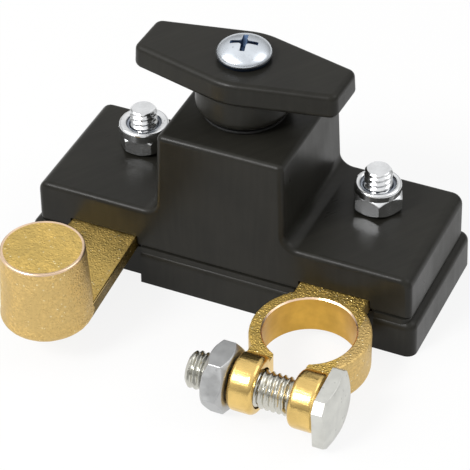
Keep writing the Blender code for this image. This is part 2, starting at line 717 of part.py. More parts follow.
def on_knob_axis(thing, turn=KNOB_TURN):
    """Move a piece made at the origin onto the knob's axis, turned to the knob's angle."""
    thing.data.transform(Matrix.Translation((KNOB_X * MM, 0, 0)) @ Matrix.Rotation(math.radians(turn), 4, "Z"))
    return thing


def make_knob():
    """Lever and hub moulded in one, with a square socket below and a screw hole above."""
    shape = prism(knob_outline(), KNOB_BOTTOM, KNOB_TOP)
    lever = add_object("knob", to_mesh("knob", shape))
    for corner in lever.data.vertices:
        if corner.co.z * 1000 > KNOB_BOTTOM + KNOB_THICKNESS / 2:
            reach = math.hypot(corner.co.x, corner.co.y)
            shrink = 1 - KNOB_DRAFT * KNOB_THICKNESS * MM / reach
            corner.co.x *= shrink
            corner.co.y *= shrink
    round_edges(lever, KNOB_EDGE, 3, 25.0)
    bake(lever)
    profile = [(0, KNOB_BOTTOM + 1.5), (HUB_RADIUS - 0.8, KNOB_BOTTOM + 1.5), (HUB_RADIUS, KNOB_BOTTOM - 0.6)]
    profile += arc(HUB_RADIUS - HUB_FOOT_ROUND, HUB_BOTTOM + HUB_FOOT_ROUND, HUB_FOOT_ROUND, 0, -90, 5)
    profile += [(0, HUB_BOTTOM)]
    boolean(lever, bake(turned("knob_hub", profile)), "UNION")
    square = SPINDLE_DRIVE + 2 * GAP
    cut(lever, "knob_socket", block(square, square, HUB_BOTTOM - 1, SOCKET_TOP))
    cut(lever, "screw_hole", rod(SCREW_RADIUS + GAP, SOCKET_TOP - 1, KNOB_TOP + 1))
    bake(lever)
    on_knob_axis(lever)
    return finish(lever, black_plastic())


def make_knob_screw():
    """Truss-head screw with a cross recess."""
    radius, height = SCREW_HEAD_RADIUS, SCREW_HEAD_HEIGHT
    sphere = (radius ** 2 + height ** 2) / (2 * height)
    spread = math.degrees(math.asin(radius / sphere))
    dome = arc(0, SCREW_HEAD_BOTTOM + height - sphere, sphere, 90, 90 - spread, 7)
    dome[0] = (0, dome[0][1])
    dome[-1] = (radius, SCREW_HEAD_BOTTOM + SCREW_HEAD_RIM)
    end = SCREW_HEAD_BOTTOM - SCREW_LENGTH
    profile = dome + [(radius - 0.1, SCREW_HEAD_BOTTOM), (SCREW_RADIUS, SCREW_HEAD_BOTTOM),
                      (SCREW_RADIUS, end + 0.6), (SCREW_RADIUS - 0.6, end), (0, end)]
    screw = bake(turned("knob_screw", profile, steps=32))
    top = SCREW_HEAD_BOTTOM + height
    for turn in (20, 110):
        slot = block(CROSS_SPAN, CROSS_SLOT, top - CROSS_DEPTH, top + 1)
        bmesh.ops.rotate(slot, cent=(0, 0, 0), matrix=Matrix.Rotation(math.radians(turn), 3, "Z"), verts=slot.verts)
        cut(screw, "cross_slot", slot)
    bake(screw)
    on_knob_axis(screw)
    return finish(screw, zinc(), 30.0)


def make_spindle():
    """Spindle: flange, lower square for the rotor, round bearing, upper square for the knob."""
    bearing_top = HUB_BOTTOM - GAP
    profile = [(0, bearing_top), (SPINDLE_RADIUS, bearing_top), (SPINDLE_RADIUS, FLANGE_TOP - 0.2),
               (SPINDLE_FLANGE_RADIUS, FLANGE_TOP), (SPINDLE_FLANGE_RADIUS, FLANGE_BOTTOM), (0, FLANGE_BOTTOM)]
    spindle = bake(turned("spindle", profile, steps=32))
    side = SPINDLE_LOWER_SQUARE
    join(spindle, "lower_square", block(side, side, FLANGE_TOP - 0.5, ROTOR_TOP))
    drive = SPINDLE_DRIVE
    join(spindle, "upper_square", block(drive, drive, bearing_top - 1, SOCKET_TOP - GAP))
    cut(spindle, "tapped_hole", rod(SCREW_RADIUS + GAP, SCREW_HEAD_BOTTOM - SCREW_LENGTH - 1, SOCKET_TOP + 1))
    bake(spindle)
    on_knob_axis(spindle)
    return finish(spindle, zinc())


def make_rotor():
    """Rotor carrier: a cup that holds the spring and guides the contact bridge."""
    rotor = add_object("rotor_carrier", to_mesh("rotor_carrier", rod(ROTOR_RADIUS, ROTOR_BOTTOM, ROTOR_TOP,
                                                                     segments=CIRCLE)))
    cut(rotor, "spring_chamber", rod(ROTOR_RADIUS - ROTOR_WALL, ROTOR_BOTTOM - 1, ROTOR_TOP - ROTOR_ROOF))
    square = SPINDLE_LOWER_SQUARE + 2 * GAP
    cut(rotor, "drive_hole", block(square, square, ROTOR_BOTTOM, ROTOR_TOP + 1))
    cut(rotor, "bridge_guide", block(3 * ROTOR_RADIUS, BRIDGE_WIDTH + 2 * GAP, ROTOR_BOTTOM - 1,
                                     BRIDGE_TOP + GUIDE_ROOM))
    bake(rotor)
    on_knob_axis(rotor)
    return finish(rotor, dark_plastic())


def make_bridge():
    """Copper bar that joins the two brass tongues when the knob is in line with the housing."""
    outline = rounded_rectangle(BRIDGE_LENGTH, BRIDGE_WIDTH, BRIDGE_CORNER)
    bridge = add_object("contact_bridge", to_mesh("contact_bridge", prism(outline, BRIDGE_BOTTOM, BRIDGE_TOP)))
    round_edges(bridge, BRIDGE_EDGE, 2, 50.0)
    bake(bridge)
    on_knob_axis(bridge)
    return finish(bridge, copper())


def make_spring():
    """Compression spring between the spindle's flange and the bridge."""
    low = BRIDGE_TOP + SPRING_WIRE + GAP
    high = FLANGE_BOTTOM - SPRING_WIRE - GAP
    per_turn = 14
    count = SPRING_TURNS * per_turn
    curve = bpy.data.curves.new("contact_spring", "CURVE")
    curve.dimensions = "3D"
    curve.bevel_depth = SPRING_WIRE * MM
    curve.bevel_resolution = 1
    curve.use_fill_caps = True
    spline = curve.splines.new("POLY")
    spline.points.add(count)
    for k in range(count + 1):
        angle = 2 * math.pi * k / per_turn
        rise = min(max((k - per_turn / 2) / (count - per_turn), 0), 1)
        spline.points[k].co = (SPRING_RADIUS * math.cos(angle) * MM, SPRING_RADIUS * math.sin(angle) * MM,
                               (low + (high - low) * rise) * MM, 1)
    carrier = bpy.data.objects.new("spring_curve", curve)
    bpy.data.collections[PARTS].objects.link(carrier)
    bpy.context.view_layer.update()
    mesh = bpy.data.meshes.new_from_object(carrier.evaluated_get(bpy.context.evaluated_depsgraph_get()))
    bpy.data.objects.remove(carrier)
    shape = bmesh.new()
    shape.from_mesh(mesh)
    bmesh.ops.remove_doubles(shape, verts=shape.verts, dist=0.00001)
    bmesh.ops.recalc_face_normals(shape, faces=shape.faces)
    shape.to_mesh(mesh)
    shape.free()
    return finish(on_knob_axis(add_object("contact_spring", mesh)), zinc())


def make_washers():
    """Shaft seal under the hub, and thrust washer over the rotor."""
    bore = SPINDLE_RADIUS + RUN_GAP
    on_knob_axis(make_ring("shaft_seal", SEAL_RADIUS, bore, SEAL_BOTTOM, SEAL_THICKNESS, rubber()), 0)
    on_knob_axis(make_ring("thrust_washer", THRUST_RADIUS, bore, THRUST_BOTTOM, THRUST_THICKNESS, copper()), 0)


def main():
    clear_scene()
    make_upper_housing()
    make_base_tray()
    make_post_terminal()
    make_clamp_terminal()
    make_clamp_bolt()
    make_clamp_nut()
    make_stud(-1, "left_stud_bolt")
    make_stud(1, "right_stud_bolt")
    make_lock_nut(-1, "left_lock_nut", LEFT_NUT_TURN)
    make_lock_nut(1, "right_lock_nut", RIGHT_NUT_TURN)
    make_knob()
    make_knob_screw()
    make_spindle()
    make_rotor()
    make_bridge()
    make_spring()
    make_washers()


main()
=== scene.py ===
"""Battery terminal disconnect switch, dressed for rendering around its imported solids.

Shapes are drawn in millimetres and stored in metres; settings that a user may change are in metres."""
import math

import bmesh
import bpy
from bpy.props import FloatProperty, FloatVectorProperty, IntProperty, PointerProperty
from mathutils import Matrix, Vector, noise


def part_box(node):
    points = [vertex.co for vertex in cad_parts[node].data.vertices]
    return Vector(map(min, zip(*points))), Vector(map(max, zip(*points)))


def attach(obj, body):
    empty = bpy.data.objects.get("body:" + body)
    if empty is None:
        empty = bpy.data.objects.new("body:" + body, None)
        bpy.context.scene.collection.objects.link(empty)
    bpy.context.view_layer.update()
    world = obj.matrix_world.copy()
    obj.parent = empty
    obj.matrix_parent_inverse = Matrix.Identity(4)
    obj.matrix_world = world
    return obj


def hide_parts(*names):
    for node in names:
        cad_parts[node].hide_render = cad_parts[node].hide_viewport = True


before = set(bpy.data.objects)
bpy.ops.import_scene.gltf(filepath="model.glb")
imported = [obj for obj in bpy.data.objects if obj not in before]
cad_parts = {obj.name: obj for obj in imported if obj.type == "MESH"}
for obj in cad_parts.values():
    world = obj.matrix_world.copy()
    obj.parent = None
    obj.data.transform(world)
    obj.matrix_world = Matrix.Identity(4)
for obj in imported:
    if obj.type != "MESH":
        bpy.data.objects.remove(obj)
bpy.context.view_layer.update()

bl_info = {
    "name": "Battery disconnect switch",
    "version": (1, 0, 0),
    "blender": (4, 5, 0),
    "location": "View3D > Sidebar > Switch",
    "description": "Builds a battery terminal disconnect switch piece by piece",
    "category": "Object",
}

MM = 0.001
GAP = 0.3
SMOOTH_ANGLE = math.radians(32.0)
NEARLY_NOTHING = 1e-6
X, Y, Z = range(3)


def lowest(node, axis):
    """Where a solid begins along an axis, in millimetres."""
    return round(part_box(node)[0][axis] / MM, 2)


def highest(node, axis):
    """Where a solid ends along an axis, in millimetres."""
    return round(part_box(node)[1][axis] / MM, 2)


def centre_of(node, axis):
    """The middle of a solid along an axis, in millimetres."""
    low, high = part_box(node)
    return round((low[axis] + high[axis]) / 2 / MM, 2)


# Places across the switch, in millimetres
KNOB_X = centre_of("knob", X)
STUD_X = centre_of("right_stud_bolt", X)
STUD_Y = centre_of("right_stud_bolt", Y)
BOLT_Y = centre_of("clamp_bolt", Y)
BOLT_Z = centre_of("clamp_bolt", Z)
POST_X = -STUD_X
POST_Y = -42.05
CLAMP_X = 25.9
RING_Y = -28.9

# Each side's direction along X, with the middle of its arm
SIDES = ((-1, POST_X), (1, CLAMP_X))

# Levels, with the heights between them
RIM_RISE = 0.9
ARM_THICKNESS = 3.4
RIM_TOP = highest("base_tray", Z)
BASE_TOP = round(RIM_TOP - RIM_RISE, 2)
HOUSING_BOTTOM = lowest("upper_housing", Z)
ARM_BOTTOM = lowest("post_terminal", Z)
ARM_TOP = round(ARM_BOTTOM + ARM_THICKNESS, 2)
NUT_BOTTOM = lowest("left_lock_nut", Z)
WING_TOP = round(NUT_BOTTOM - GAP, 2)
STUD_TOP = highest("left_stud_bolt", Z)
TOWER_TOP = highest("upper_housing", Z)
HUB_BOTTOM = lowest("knob", Z)
KNOB_BOTTOM = 47.2
SCREW_SEAT = 52.83

# Housing and base
HOUSING_DRAFT = 0.026
HOUSING_WALL = 2.4
TOWER_FILLET = 3.0
SHELL_FOOT = 6.0
SLEEVE_RADIUS = 7.4
SLEEVE_BOTTOM = 31.1
SPINDLE_HOLE = 4.35
BOSS_RADIUS = 5.2
STUD_HOLE = 3.3

# Width and depth of a cutter that clears the whole housing
ROOMY = (200, 100)

# Brass arms
ARM_HALF = 7.7
ARM_FRONT = -16.1
ARM_BACK = highest("post_terminal", Y)
ARM_SLOT = 16.0
CONTACT_X = 7.4
CONTACT_HALF = 6.0

# Clamp
EAR_INNER = 3.7
EAR_OUTER = 9.4
EAR_RADIUS = 6.15
EAR_Y = BOLT_Y + 0.5
HEAD_START = 9.65
RING_STRETCH = 1.04
RING_BOTTOM = lowest("clamp_terminal", Z)

# Width across the flats of the studs' heads and nuts
M6_FLATS = 10.0


def length_setting(name, description, default):
    """A length in metres that a user may change."""
    return FloatProperty(name=name, description=description, default=default, min=0.0, unit="LENGTH",
                         precision=5)


def colour_setting(name, description, default):
    """A colour that a user may change."""
    return FloatVectorProperty(name=name, description=description, default=default, size=3, min=0.0,
                               max=1.0, subtype="COLOR")


def angle_setting(name, description, degrees):
    """An angle that a user may change, its default given in degrees."""
    return FloatProperty(name=name, description=description, default=math.radians(degrees),
                         subtype="ANGLE", unit="ROTATION")


class HousingSettings(bpy.types.PropertyGroup):
    """Sizes and colour of the moulded housing and its base."""
    wing_length: length_setting("Wing length", "Length of the upper housing at the top of its wings", 0.0852)
    wing_depth: length_setting("Wing depth", "Depth of the upper housing at the top of its wings", 0.0322)
    tower_width: length_setting("Tower width", "Width of the tower at its top", 0.0282)
    base_length: length_setting("Base length", "Length of the base at its underside", 0.0896)
    base_depth: length_setting("Base depth", "Depth of the base at its underside", 0.0354)
    edge_round: length_setting("Edge rounding", "Radius of the housing's edges", 0.0013)
    end_round: length_setting("End rounding", "Radius of the top edges at the ends of the wings", 0.0024)
    colour: colour_setting("Plastic colour", "Colour of the moulded plastic", (0.0160, 0.0153, 0.0125))


class KnobSettings(bpy.types.PropertyGroup):
    """Sizes of the lever knob and its screw."""
    lever_length: length_setting("Lever length", "Length of the lever from tip to tip", 0.0458)
    lever_thickness: length_setting("Lever thickness", "Height of the lever's side", 0.0056)
    edge_round: length_setting("Edge rounding", "Radius of the lever's long edges", 0.0014)
    turn: angle_setting("Turn", "Angle at which the lever stands on its spindle", -1.5)
    screw_radius: length_setting("Screw head radius", "Radius of the knob screw's domed head", 0.0058)
    screw_height: length_setting("Screw head height", "Height of the knob screw's dome above its rim", 0.0027)


class BrassSettings(bpy.types.PropertyGroup):
    """Sizes and colours of the cast brass post and clamp."""
    post_radius: length_setting("Post top radius", "Radius of the battery post at its top", 0.00875)
    ring_radius: length_setting("Ring radius", "Outer radius of the clamp ring", 0.01250)
    bore_radius: length_setting("Bore radius", "Radius of the clamp ring's bore at its top", 0.0096)
    grain: length_setting("Cast grain", "Height of the sandy bumps left by the mould", 0.00005)
    colour: colour_setting("Cast colour", "Colour of the rough cast brass", (0.90, 0.64, 0.255))
    bright: colour_setting("Worked colour", "Colour of the machined or polished brass", (0.84, 0.585, 0.205))


class FastenerSettings(bpy.types.PropertyGroup):
    """Sizes and colour of the bolts, studs and nuts."""
    bolt_radius: length_setting("Bolt radius", "Radius of the clamp bolt's thread", 0.0040)
    stud_radius: length_setting("Stud radius", "Radius of the stud bolts' thread", 0.0030)
    pitch: length_setting("Thread pitch", "Distance between two crests of a thread", 0.0013)
    thread_sides: IntProperty(name="Thread sides", description="Sides of a threaded shank", default=48,
                              min=12, max=96)
    colour: colour_setting("Zinc colour", "Colour of the bright zinc plate", (0.80, 0.81, 0.82))


class StageSettings(bpy.types.PropertyGroup):
    """The camera, the lamps and the floor."""
    azimuth: angle_setting("Azimuth", "Camera's angle round the switch", 24.687)
    elevation: angle_setting("Elevation", "Camera's angle above the horizon", 39.22)
    roll: angle_setting("Roll", "Camera's roll", 0.946)
    place: FloatVectorProperty(name="Camera place", description="Where the camera stands", size=3,
                               default=(0.159537, -0.354978, 0.323903), subtype="TRANSLATION",
                               unit="LENGTH", precision=6)
    lens: FloatProperty(name="Focal length", description="Camera's focal length in millimetres",
                        default=177.779, min=1.0)
    sky: FloatProperty(name="Sky strength", description="Strength of the soft light from all round",
                       default=0.62, min=0.0)
    floor: colour_setting("Floor colour", "Colour of the floor", (0.86, 0.86, 0.85))


# Shapes in millimetres

def arc(centre_u, centre_v, radius, start, end, steps):
    """Points of an arc in a plane, angles in degrees."""
    points = []
    for step in range(steps + 1):
        angle = math.radians(start + (end - start) * step / steps)
        points.append((centre_u + radius * math.cos(angle), centre_v + radius * math.sin(angle)))
    return points


def circle(centre_u, centre_v, radius, count, start=0.0):
    """Points of a whole circle in a plane, the first one at an angle in degrees."""
    return arc(centre_u, centre_v, radius, start, start + 360 - 360 / count, count - 1)


def prism(outline, low, high, axis="Z"):
    """An outline swept along an axis from low to high."""
    place = {
        "Z": lambda u, v, w: (u, v, w),
        "Y": lambda u, v, w: (u, w, v),
        "X": lambda u, v, w: (w, u, v),
    }[axis]
    shape = bmesh.new()
    ends = [[shape.verts.new(place(u, v, level)) for u, v in outline] for level in (low, high)]
    for end in ends:
        shape.faces.new(end)
    count = len(outline)
    for k in range(count):
        following = (k + 1) % count
        shape.faces.new((ends[0][k], ends[0][following], ends[1][following], ends[1][k]))
    bmesh.ops.recalc_face_normals(shape, faces=shape.faces)
    return shape


def block(width, depth, low, high, x=0.0, y=0.0):
    """A rectangular block centred on x and y."""
    outline = [(x - width / 2, y - depth / 2), (x + width / 2, y - depth / 2),
               (x + width / 2, y + depth / 2), (x - width / 2, y + depth / 2)]
    return prism(outline, low, high)


def turned(profile, sides=96, x=0.0, y=0.0):
    """A shape turned about an upright axis from a profile of (radius, height)."""
    shape = bmesh.new()
    rings = []
    for radius, height in profile:
        angles = [2 * math.pi * k / sides for k in range(sides if radius > NEARLY_NOTHING else 1)]
        spots = [(x + radius * math.cos(angle), y + radius * math.sin(angle), height) for angle in angles]
        rings.append([shape.verts.new(spot) for spot in spots])
    pairs = list(zip(rings, rings[1:]))
    if len(rings[0]) > 1 and len(rings[-1]) > 1:
        pairs.append((rings[-1], rings[0]))
    for upper, lower in pairs:
        for k in range(sides):
            following = (k + 1) % sides
            corners = [upper[k % len(upper)], upper[following % len(upper)],
                       lower[following % len(lower)], lower[k % len(lower)]]
            corners = list(dict.fromkeys(corners))
            if len(corners) > 2:
                shape.faces.new(corners)
    bmesh.ops.recalc_face_normals(shape, faces=shape.faces)
    return shape


def rod(radius, low, high, x=0.0, y=0.0, sides=64):
    """An upright cylinder."""
    return turned([(0, high), (radius, high), (radius, low), (0, low)], sides, x, y)


def round_edges(shape, radius, steps, wanted):
    """Round the edges that a test picks."""
    edges = [edge for edge in shape.edges if len(edge.link_faces) == 2 and wanted(edge)]
    bmesh.ops.bevel(shape, geom=edges, offset=radius, offset_type="OFFSET", segments=steps, profile=0.5,
                    affect="EDGES", clamp_overlap=False)
    bmesh.ops.recalc_face_normals(shape, faces=shape.faces)
    return shape


def sharper_than(degrees):
    """A test for edges whose faces meet at more than an angle."""
    limit = math.radians(degrees)
    return lambda edge: edge.calc_face_angle(0.0) > limit


def wing_end_edge(edge):
    """Whether an edge is the long top edge at the end of a wing."""
    wing_end, wing_middle, long_edge = 38.0, 15.0, 10.0
    first, second = (point.co for point in edge.verts)
    outermost = min(abs(first.x), abs(second.x)) > wing_end
    uppermost = min(first.z, second.z) > wing_middle
    return outermost and uppermost and abs(first.y - second.y) > long_edge


def lean(shape, per_height, level, along):
    """Draft: pull the points towards the middle as they rise above a level."""
    for point in shape.verts:
        value = getattr(point.co, along)
        setattr(point.co, along, value - math.copysign((point.co.z - level) * per_height, value))
    return shape


def move_shape(shape, x, y, z):
    """Move a shape."""
    bmesh.ops.translate(shape, vec=(x, y, z), verts=shape.verts)
    return shape


def lay_along_x(shape, x, y, z):
    """Turn a shape made upright so that it points along +X, with its foot at a place."""
    turn = Matrix.Rotation(math.radians(90), 4, "Z") @ Matrix.Rotation(math.radians(90), 4, "X")
    shape.transform(Matrix.Translation((x, y, z)) @ turn)
    return shape


def rounded_rectangle(length, depth, corner, steps=8):
    """Outline of a rectangle with round corners."""
    across, back = length / 2 - corner, depth / 2 - corner
    points = []
    for sign_x, sign_y, start in ((1, -1, 270), (1, 1, 0), (-1, 1, 90), (-1, -1, 180)):
        points += arc(sign_x * across, sign_y * back, corner, start, start + 90, steps)
    return points


def polygon(sides, flats, turn, corner=0.0):
    """Outline of a regular polygon by its width across flats, its corners cut off by a flat."""
    points = []
    reach = (flats / 2 - corner) / math.cos(math.pi / sides)
    for k in range(sides):
        angle = turn + 180 / sides + 360 * k / sides
        centre = (reach * math.cos(math.radians(angle)), reach * math.sin(math.radians(angle)))
        if corner:
            points += arc(*centre, corner, angle - 180 / sides, angle + 180 / sides, 1)
        else:
            points.append(centre)
    return points


# Pieces

def piece_from(shape, name):
    """Store a shape drawn in millimetres as a piece in metres."""
    bmesh.ops.scale(shape, vec=(MM, MM, MM), verts=shape.verts)
    mesh = bpy.data.meshes.new(name)
    shape.to_mesh(mesh)
    shape.free()
    piece = bpy.data.objects.new(name, mesh)
    bpy.context.scene.collection.objects.link(piece)
    return piece


def keep_result(piece):
    """Replace a piece's mesh by what its modifiers make of it."""
    bpy.context.view_layer.update()
    graph = bpy.context.evaluated_depsgraph_get()
    mesh = bpy.data.meshes.new_from_object(piece.evaluated_get(graph))
    piece.modifiers.clear()
    piece.data = mesh
    return piece


def shape_of(piece):
    """Take a piece apart again into a shape in millimetres."""
    shape = bmesh.new()
    shape.from_mesh(piece.data)
    bpy.data.objects.remove(piece)
    bmesh.ops.scale(shape, vec=(1 / MM, 1 / MM, 1 / MM), verts=shape.verts)
    return shape


def carve(piece, *steps):
    """Join shapes to a piece, cut them out of it or keep only what lies in them, in order."""
    helpers = []
    for operation, shape in steps:
        helper = piece_from(shape, "helper")
        step = piece.modifiers.new("step", "BOOLEAN")
        step.operation = operation
        step.solver = "EXACT"
        step.object = helper
        helpers.append(helper)
    keep_result(piece)
    for helper in helpers:
        bpy.data.objects.remove(helper)
    return piece


def roughen(piece, height, size, share_at):
    """Move the points of a cast surface in and out a little; share_at says how much each place gets."""
    fine_share, fine_scale, fine_shift = 0.6, 2.3, Vector((7.0, 3.0, 5.0))
    shape = bmesh.new()
    shape.from_mesh(piece.data)
    shape.normal_update()
    for point in shape.verts:
        place = point.co / MM
        coarse = noise.noise(place / size)
        fine = noise.noise(place / size * fine_scale + fine_shift)
        point.co += point.normal * ((coarse + fine_share * fine) * height * share_at(place) * MM)
    shape.to_mesh(piece.data)
    shape.free()


def smooth(piece):
    """Smooth shading with sharp edges kept and large faces kept flat."""
    piece.data.shade_smooth()
    piece.data.set_sharp_from_angle(angle=SMOOTH_ANGLE)
    even = piece.modifiers.new("even", "WEIGHTED_NORMAL")
    even.keep_sharp = True
    return keep_result(piece)


def paint(piece, materials, pick=None):
    """Give a piece its materials; pick(centre in mm, normal) gives the number of each face's one."""
    piece.data.materials.clear()
    for material in materials:
        piece.data.materials.append(material)
    for face in piece.data.polygons:
        face.material_index = pick(face.center / MM, face.normal) if pick else 0


def settle(piece, body, slot, *nodes):
    """Let a piece ride on its body in place of the solids that it stands for."""
    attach(piece, body)
    if nodes:
        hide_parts(*nodes)
    return piece


# Shader groups and materials

class Nodes:
    """Short words for building a node tree."""

    def __init__(self, tree):
        self.tree = tree

    def add(self, kind, **values):
        """A node with its settings, and its inputs by name or number."""
        made = self.tree.nodes.new(kind)
        inputs = values.pop("inputs", {})
        for name, value in values.items():
            setattr(made, name, value)
        for key, value in inputs.items():
            if isinstance(value, bpy.types.NodeSocket):
                self.tree.links.new(value, made.inputs[key])
            else:
                made.inputs[key].default_value = value
        return made

    def link(self, start, end):
        """Join an output to an input."""
        self.tree.links.new(start, end)

    def maths(self, operation, first, second=0.0, third=0.0, clamp=False):
        """The result of one Math node."""
        made = self.add("ShaderNodeMath", operation=operation, use_clamp=clamp,
                        inputs={0: first, 1: second, 2: third})
        return made.outputs[0]

    def one_over(self, value):
        """One divided by a value: the scale of a texture whose marks have that size."""
        return self.maths("DIVIDE", 1.0, value)

    def ramp(self, value, low, high, start=0.0, end=1.0):
        """A value carried from low..high to start..end, held at both ends."""
        made = self.add("ShaderNodeMapRange", inputs={"Value": value, "From Min": low, "From Max": high,
                                                      "To Min": start, "To Max": end})
        return made.outputs["Result"]

    def mix(self, factor, *colours):
        """A colour between two others."""
        factor_socket, first_socket, second_socket, result = 0, 6, 7, 2
        made = self.add("ShaderNodeMix", data_type="RGBA", inputs={factor_socket: factor})
        for key, value in zip((first_socket, second_socket), colours):
            if isinstance(value, bpy.types.NodeSocket):
                self.link(value, made.inputs[key])
            else:
                made.inputs[key].default_value = (*value, 1.0)
        return made.outputs[result]


def shader_group(name, inputs, outputs):
    """An empty shader group with float inputs and outputs, and its two end nodes."""
    tree = bpy.data.node_groups.new(name, "ShaderNodeTree")
    for label, value in inputs.items():
        tree.interface.new_socket(label, in_out="INPUT", socket_type="NodeSocketFloat").default_value = value
    for label in outputs:
        tree.interface.new_socket(label, in_out="OUTPUT", socket_type="NodeSocketFloat")
    nodes = Nodes(tree)
    return nodes, nodes.add("NodeGroupInput"), nodes.add("NodeGroupOutput")


def make_surface_grain():
    """Shader group: the fine unevenness of a surface, as a height, with broad patches as a mask."""
    nodes, start, end = shader_group("surface grain", {"Size": 0.001, "Patch Size": 0.01, "Contrast": 1.0},
                                     ("Height", "Patches"))
    place = nodes.add("ShaderNodeTexCoord").outputs["Object"]
    fine = nodes.add("ShaderNodeTexNoise", inputs={"Vector": place, "Detail": 4.0, "Roughness": 0.6,
                                                   "Scale": nodes.one_over(start.outputs["Size"])})
    broad = nodes.add("ShaderNodeTexNoise", inputs={"Vector": place, "Detail": 3.0, "Roughness": 0.55,
                                                    "Scale": nodes.one_over(start.outputs["Patch Size"])})
    centred = nodes.maths("SUBTRACT", fine.outputs["Fac"], 0.5)
    lifted = nodes.maths("MULTIPLY", centred, start.outputs["Contrast"])
    nodes.link(nodes.maths("ADD", lifted, 0.5), end.inputs["Height"])
    nodes.link(nodes.ramp(broad.outputs["Fac"], 0.36, 0.64), end.inputs["Patches"])
    return nodes.tree


def make_glints():
    """Shader group: scattered small grains, as a mask of the brightest ones and a height."""
    nodes, start, end = shader_group("glints", {"Size": 0.0006, "Share": 0.1}, ("Mask", "Height"))
    place = nodes.add("ShaderNodeTexCoord").outputs["Object"]
    cells = nodes.add("ShaderNodeTexVoronoi", feature="F1",
                      inputs={"Vector": place, "Scale": nodes.one_over(start.outputs["Size"])})
    pick = nodes.add("ShaderNodeSeparateColor", inputs={"Color": cells.outputs["Color"]}).outputs[0]
    chosen = nodes.maths("LESS_THAN", pick, start.outputs["Share"])
    round_top = nodes.ramp(cells.outputs["Distance"], 0.15, 0.45, 1.0, 0.0)
    nodes.link(nodes.maths("MULTIPLY", chosen, round_top), end.inputs["Mask"])
    nodes.link(round_top, end.inputs["Height"])
    return nodes.tree


def make_streaks():
    """Shader group: fine lines across a surface, as left by a tool or by handling."""
    nodes, start, end = shader_group("streaks", {"Line Size": 0.0002, "Run": 0.01, "Turn": 0.0}, ("Lines",))
    place = nodes.add("ShaderNodeTexCoord").outputs["Object"]
    turned_place = nodes.add("ShaderNodeVectorRotate", rotation_type="Z_AXIS",
                             inputs={"Vector": place, "Angle": start.outputs["Turn"]}).outputs[0]
    thin = nodes.one_over(start.outputs["Line Size"])
    long = nodes.one_over(start.outputs["Run"])
    scale = nodes.add("ShaderNodeCombineXYZ", inputs={0: thin, 1: long, 2: long}).outputs[0]
    stretched = nodes.add("ShaderNodeVectorMath", operation="MULTIPLY",
                          inputs={0: turned_place, 1: scale}).outputs[0]
    lines = nodes.add("ShaderNodeTexNoise", inputs={"Vector": stretched, "Scale": 1.0, "Detail": 3.0})
    nodes.link(nodes.ramp(lines.outputs["Fac"], 0.4, 0.68), end.inputs["Lines"])
    return nodes.tree


def new_material(name):
    """A material with an empty tree, its Principled shader and its output."""
    made = bpy.data.materials.new(name)
    made.use_nodes = True
    tree = made.node_tree
    tree.nodes.clear()
    nodes = Nodes(tree)
    shader = nodes.add("ShaderNodeBsdfPrincipled")
    output = nodes.add("ShaderNodeOutputMaterial")
    nodes.link(shader.outputs[0], output.inputs[0])
    return made, nodes, shader


def group_in(nodes, name, **values):
    """A shader group placed in a material with its own values."""
    made = nodes.add("ShaderNodeGroup", node_tree=bpy.data.node_groups[name])
    for label, value in values.items():
        made.inputs[label.replace("_", " ")].default_value = value
    return made


def bump(nodes, shader, height, strength, distance):
    """Feed a height to a shader's normal."""
    made = nodes.add("ShaderNodeBump", inputs={"Strength": strength, "Distance": distance, "Height": height})
    nodes.link(made.outputs[0], shader.inputs["Normal"])


def shade(colour, factor):
    """A colour made darker or lighter."""
    return tuple(min(part * factor, 1.0) for part in colour)


def plastic_material(name, colour, roughness, gloss):
    """Satin moulded plastic: fine spark-eroded grain, uneven gloss and faint handling marks."""
    made, nodes, shader = new_material(name)
    grain = group_in(nodes, "surface grain", Size=0.00035, Patch_Size=0.012, Contrast=0.8)
    marks = group_in(nodes, "streaks", Line_Size=0.0009, Run=0.012, Turn=0.6)
    tint = nodes.mix(grain.outputs["Patches"], shade(colour, 0.88), shade(colour, 1.12))
    worn = nodes.mix(nodes.maths("MULTIPLY", marks.outputs["Lines"], 0.12), tint, shade(colour, 2.4))
    nodes.link(worn, shader.inputs["Base Color"])
    uneven = nodes.ramp(grain.outputs["Patches"], 0.0, 1.0, roughness - 0.04, roughness + 0.05)
    nodes.link(nodes.maths("SUBTRACT", uneven, nodes.maths("MULTIPLY", marks.outputs["Lines"], 0.03)),
               shader.inputs["Roughness"])
    shader.inputs["Specular IOR Level"].default_value = gloss
    bump(nodes, shader, grain.outputs["Height"], 0.35, 0.00004)
    return made


def cast_material(name, colour, roughness, lift, glint_share, grain_size=0.0008):
    """Sand-cast brass: mottled colour, sandy bumps, and scattered smoother grains whose paler colour is a
    painted glint.
    """
    made, nodes, shader = new_material(name)
    grain = group_in(nodes, "surface grain", Size=grain_size, Patch_Size=0.004, Contrast=1.6)
    glints = group_in(nodes, "glints", Size=0.00055, Share=glint_share)
    tint = nodes.mix(grain.outputs["Patches"], shade(colour, 0.84), shade(colour, 1.14))
    dusty = nodes.mix(nodes.ramp(grain.outputs["Height"], 0.3, 0.75, 0.0, 0.6), shade(colour, 0.72), tint)
    # Painted glint: the chosen grains get a paler colour; their lower roughness and bump are real.
    bright = nodes.mix(glints.outputs["Mask"], dusty, (1.0, 0.86, 0.52))
    nodes.link(bright, shader.inputs["Base Color"])
    shader.inputs["Metallic"].default_value = 1.0
    dull = nodes.ramp(grain.outputs["Patches"], 0.0, 1.0, roughness - 0.06, roughness + 0.08)
    polish = nodes.maths("MULTIPLY", glints.outputs["Mask"], 0.3)
    nodes.link(nodes.maths("SUBTRACT", dull, polish, clamp=True), shader.inputs["Roughness"])
    sand = nodes.maths("MULTIPLY", grain.outputs["Height"], 1.4)
    bump(nodes, shader, nodes.maths("ADD", sand, glints.outputs["Height"]), 0.8, lift)
    return made


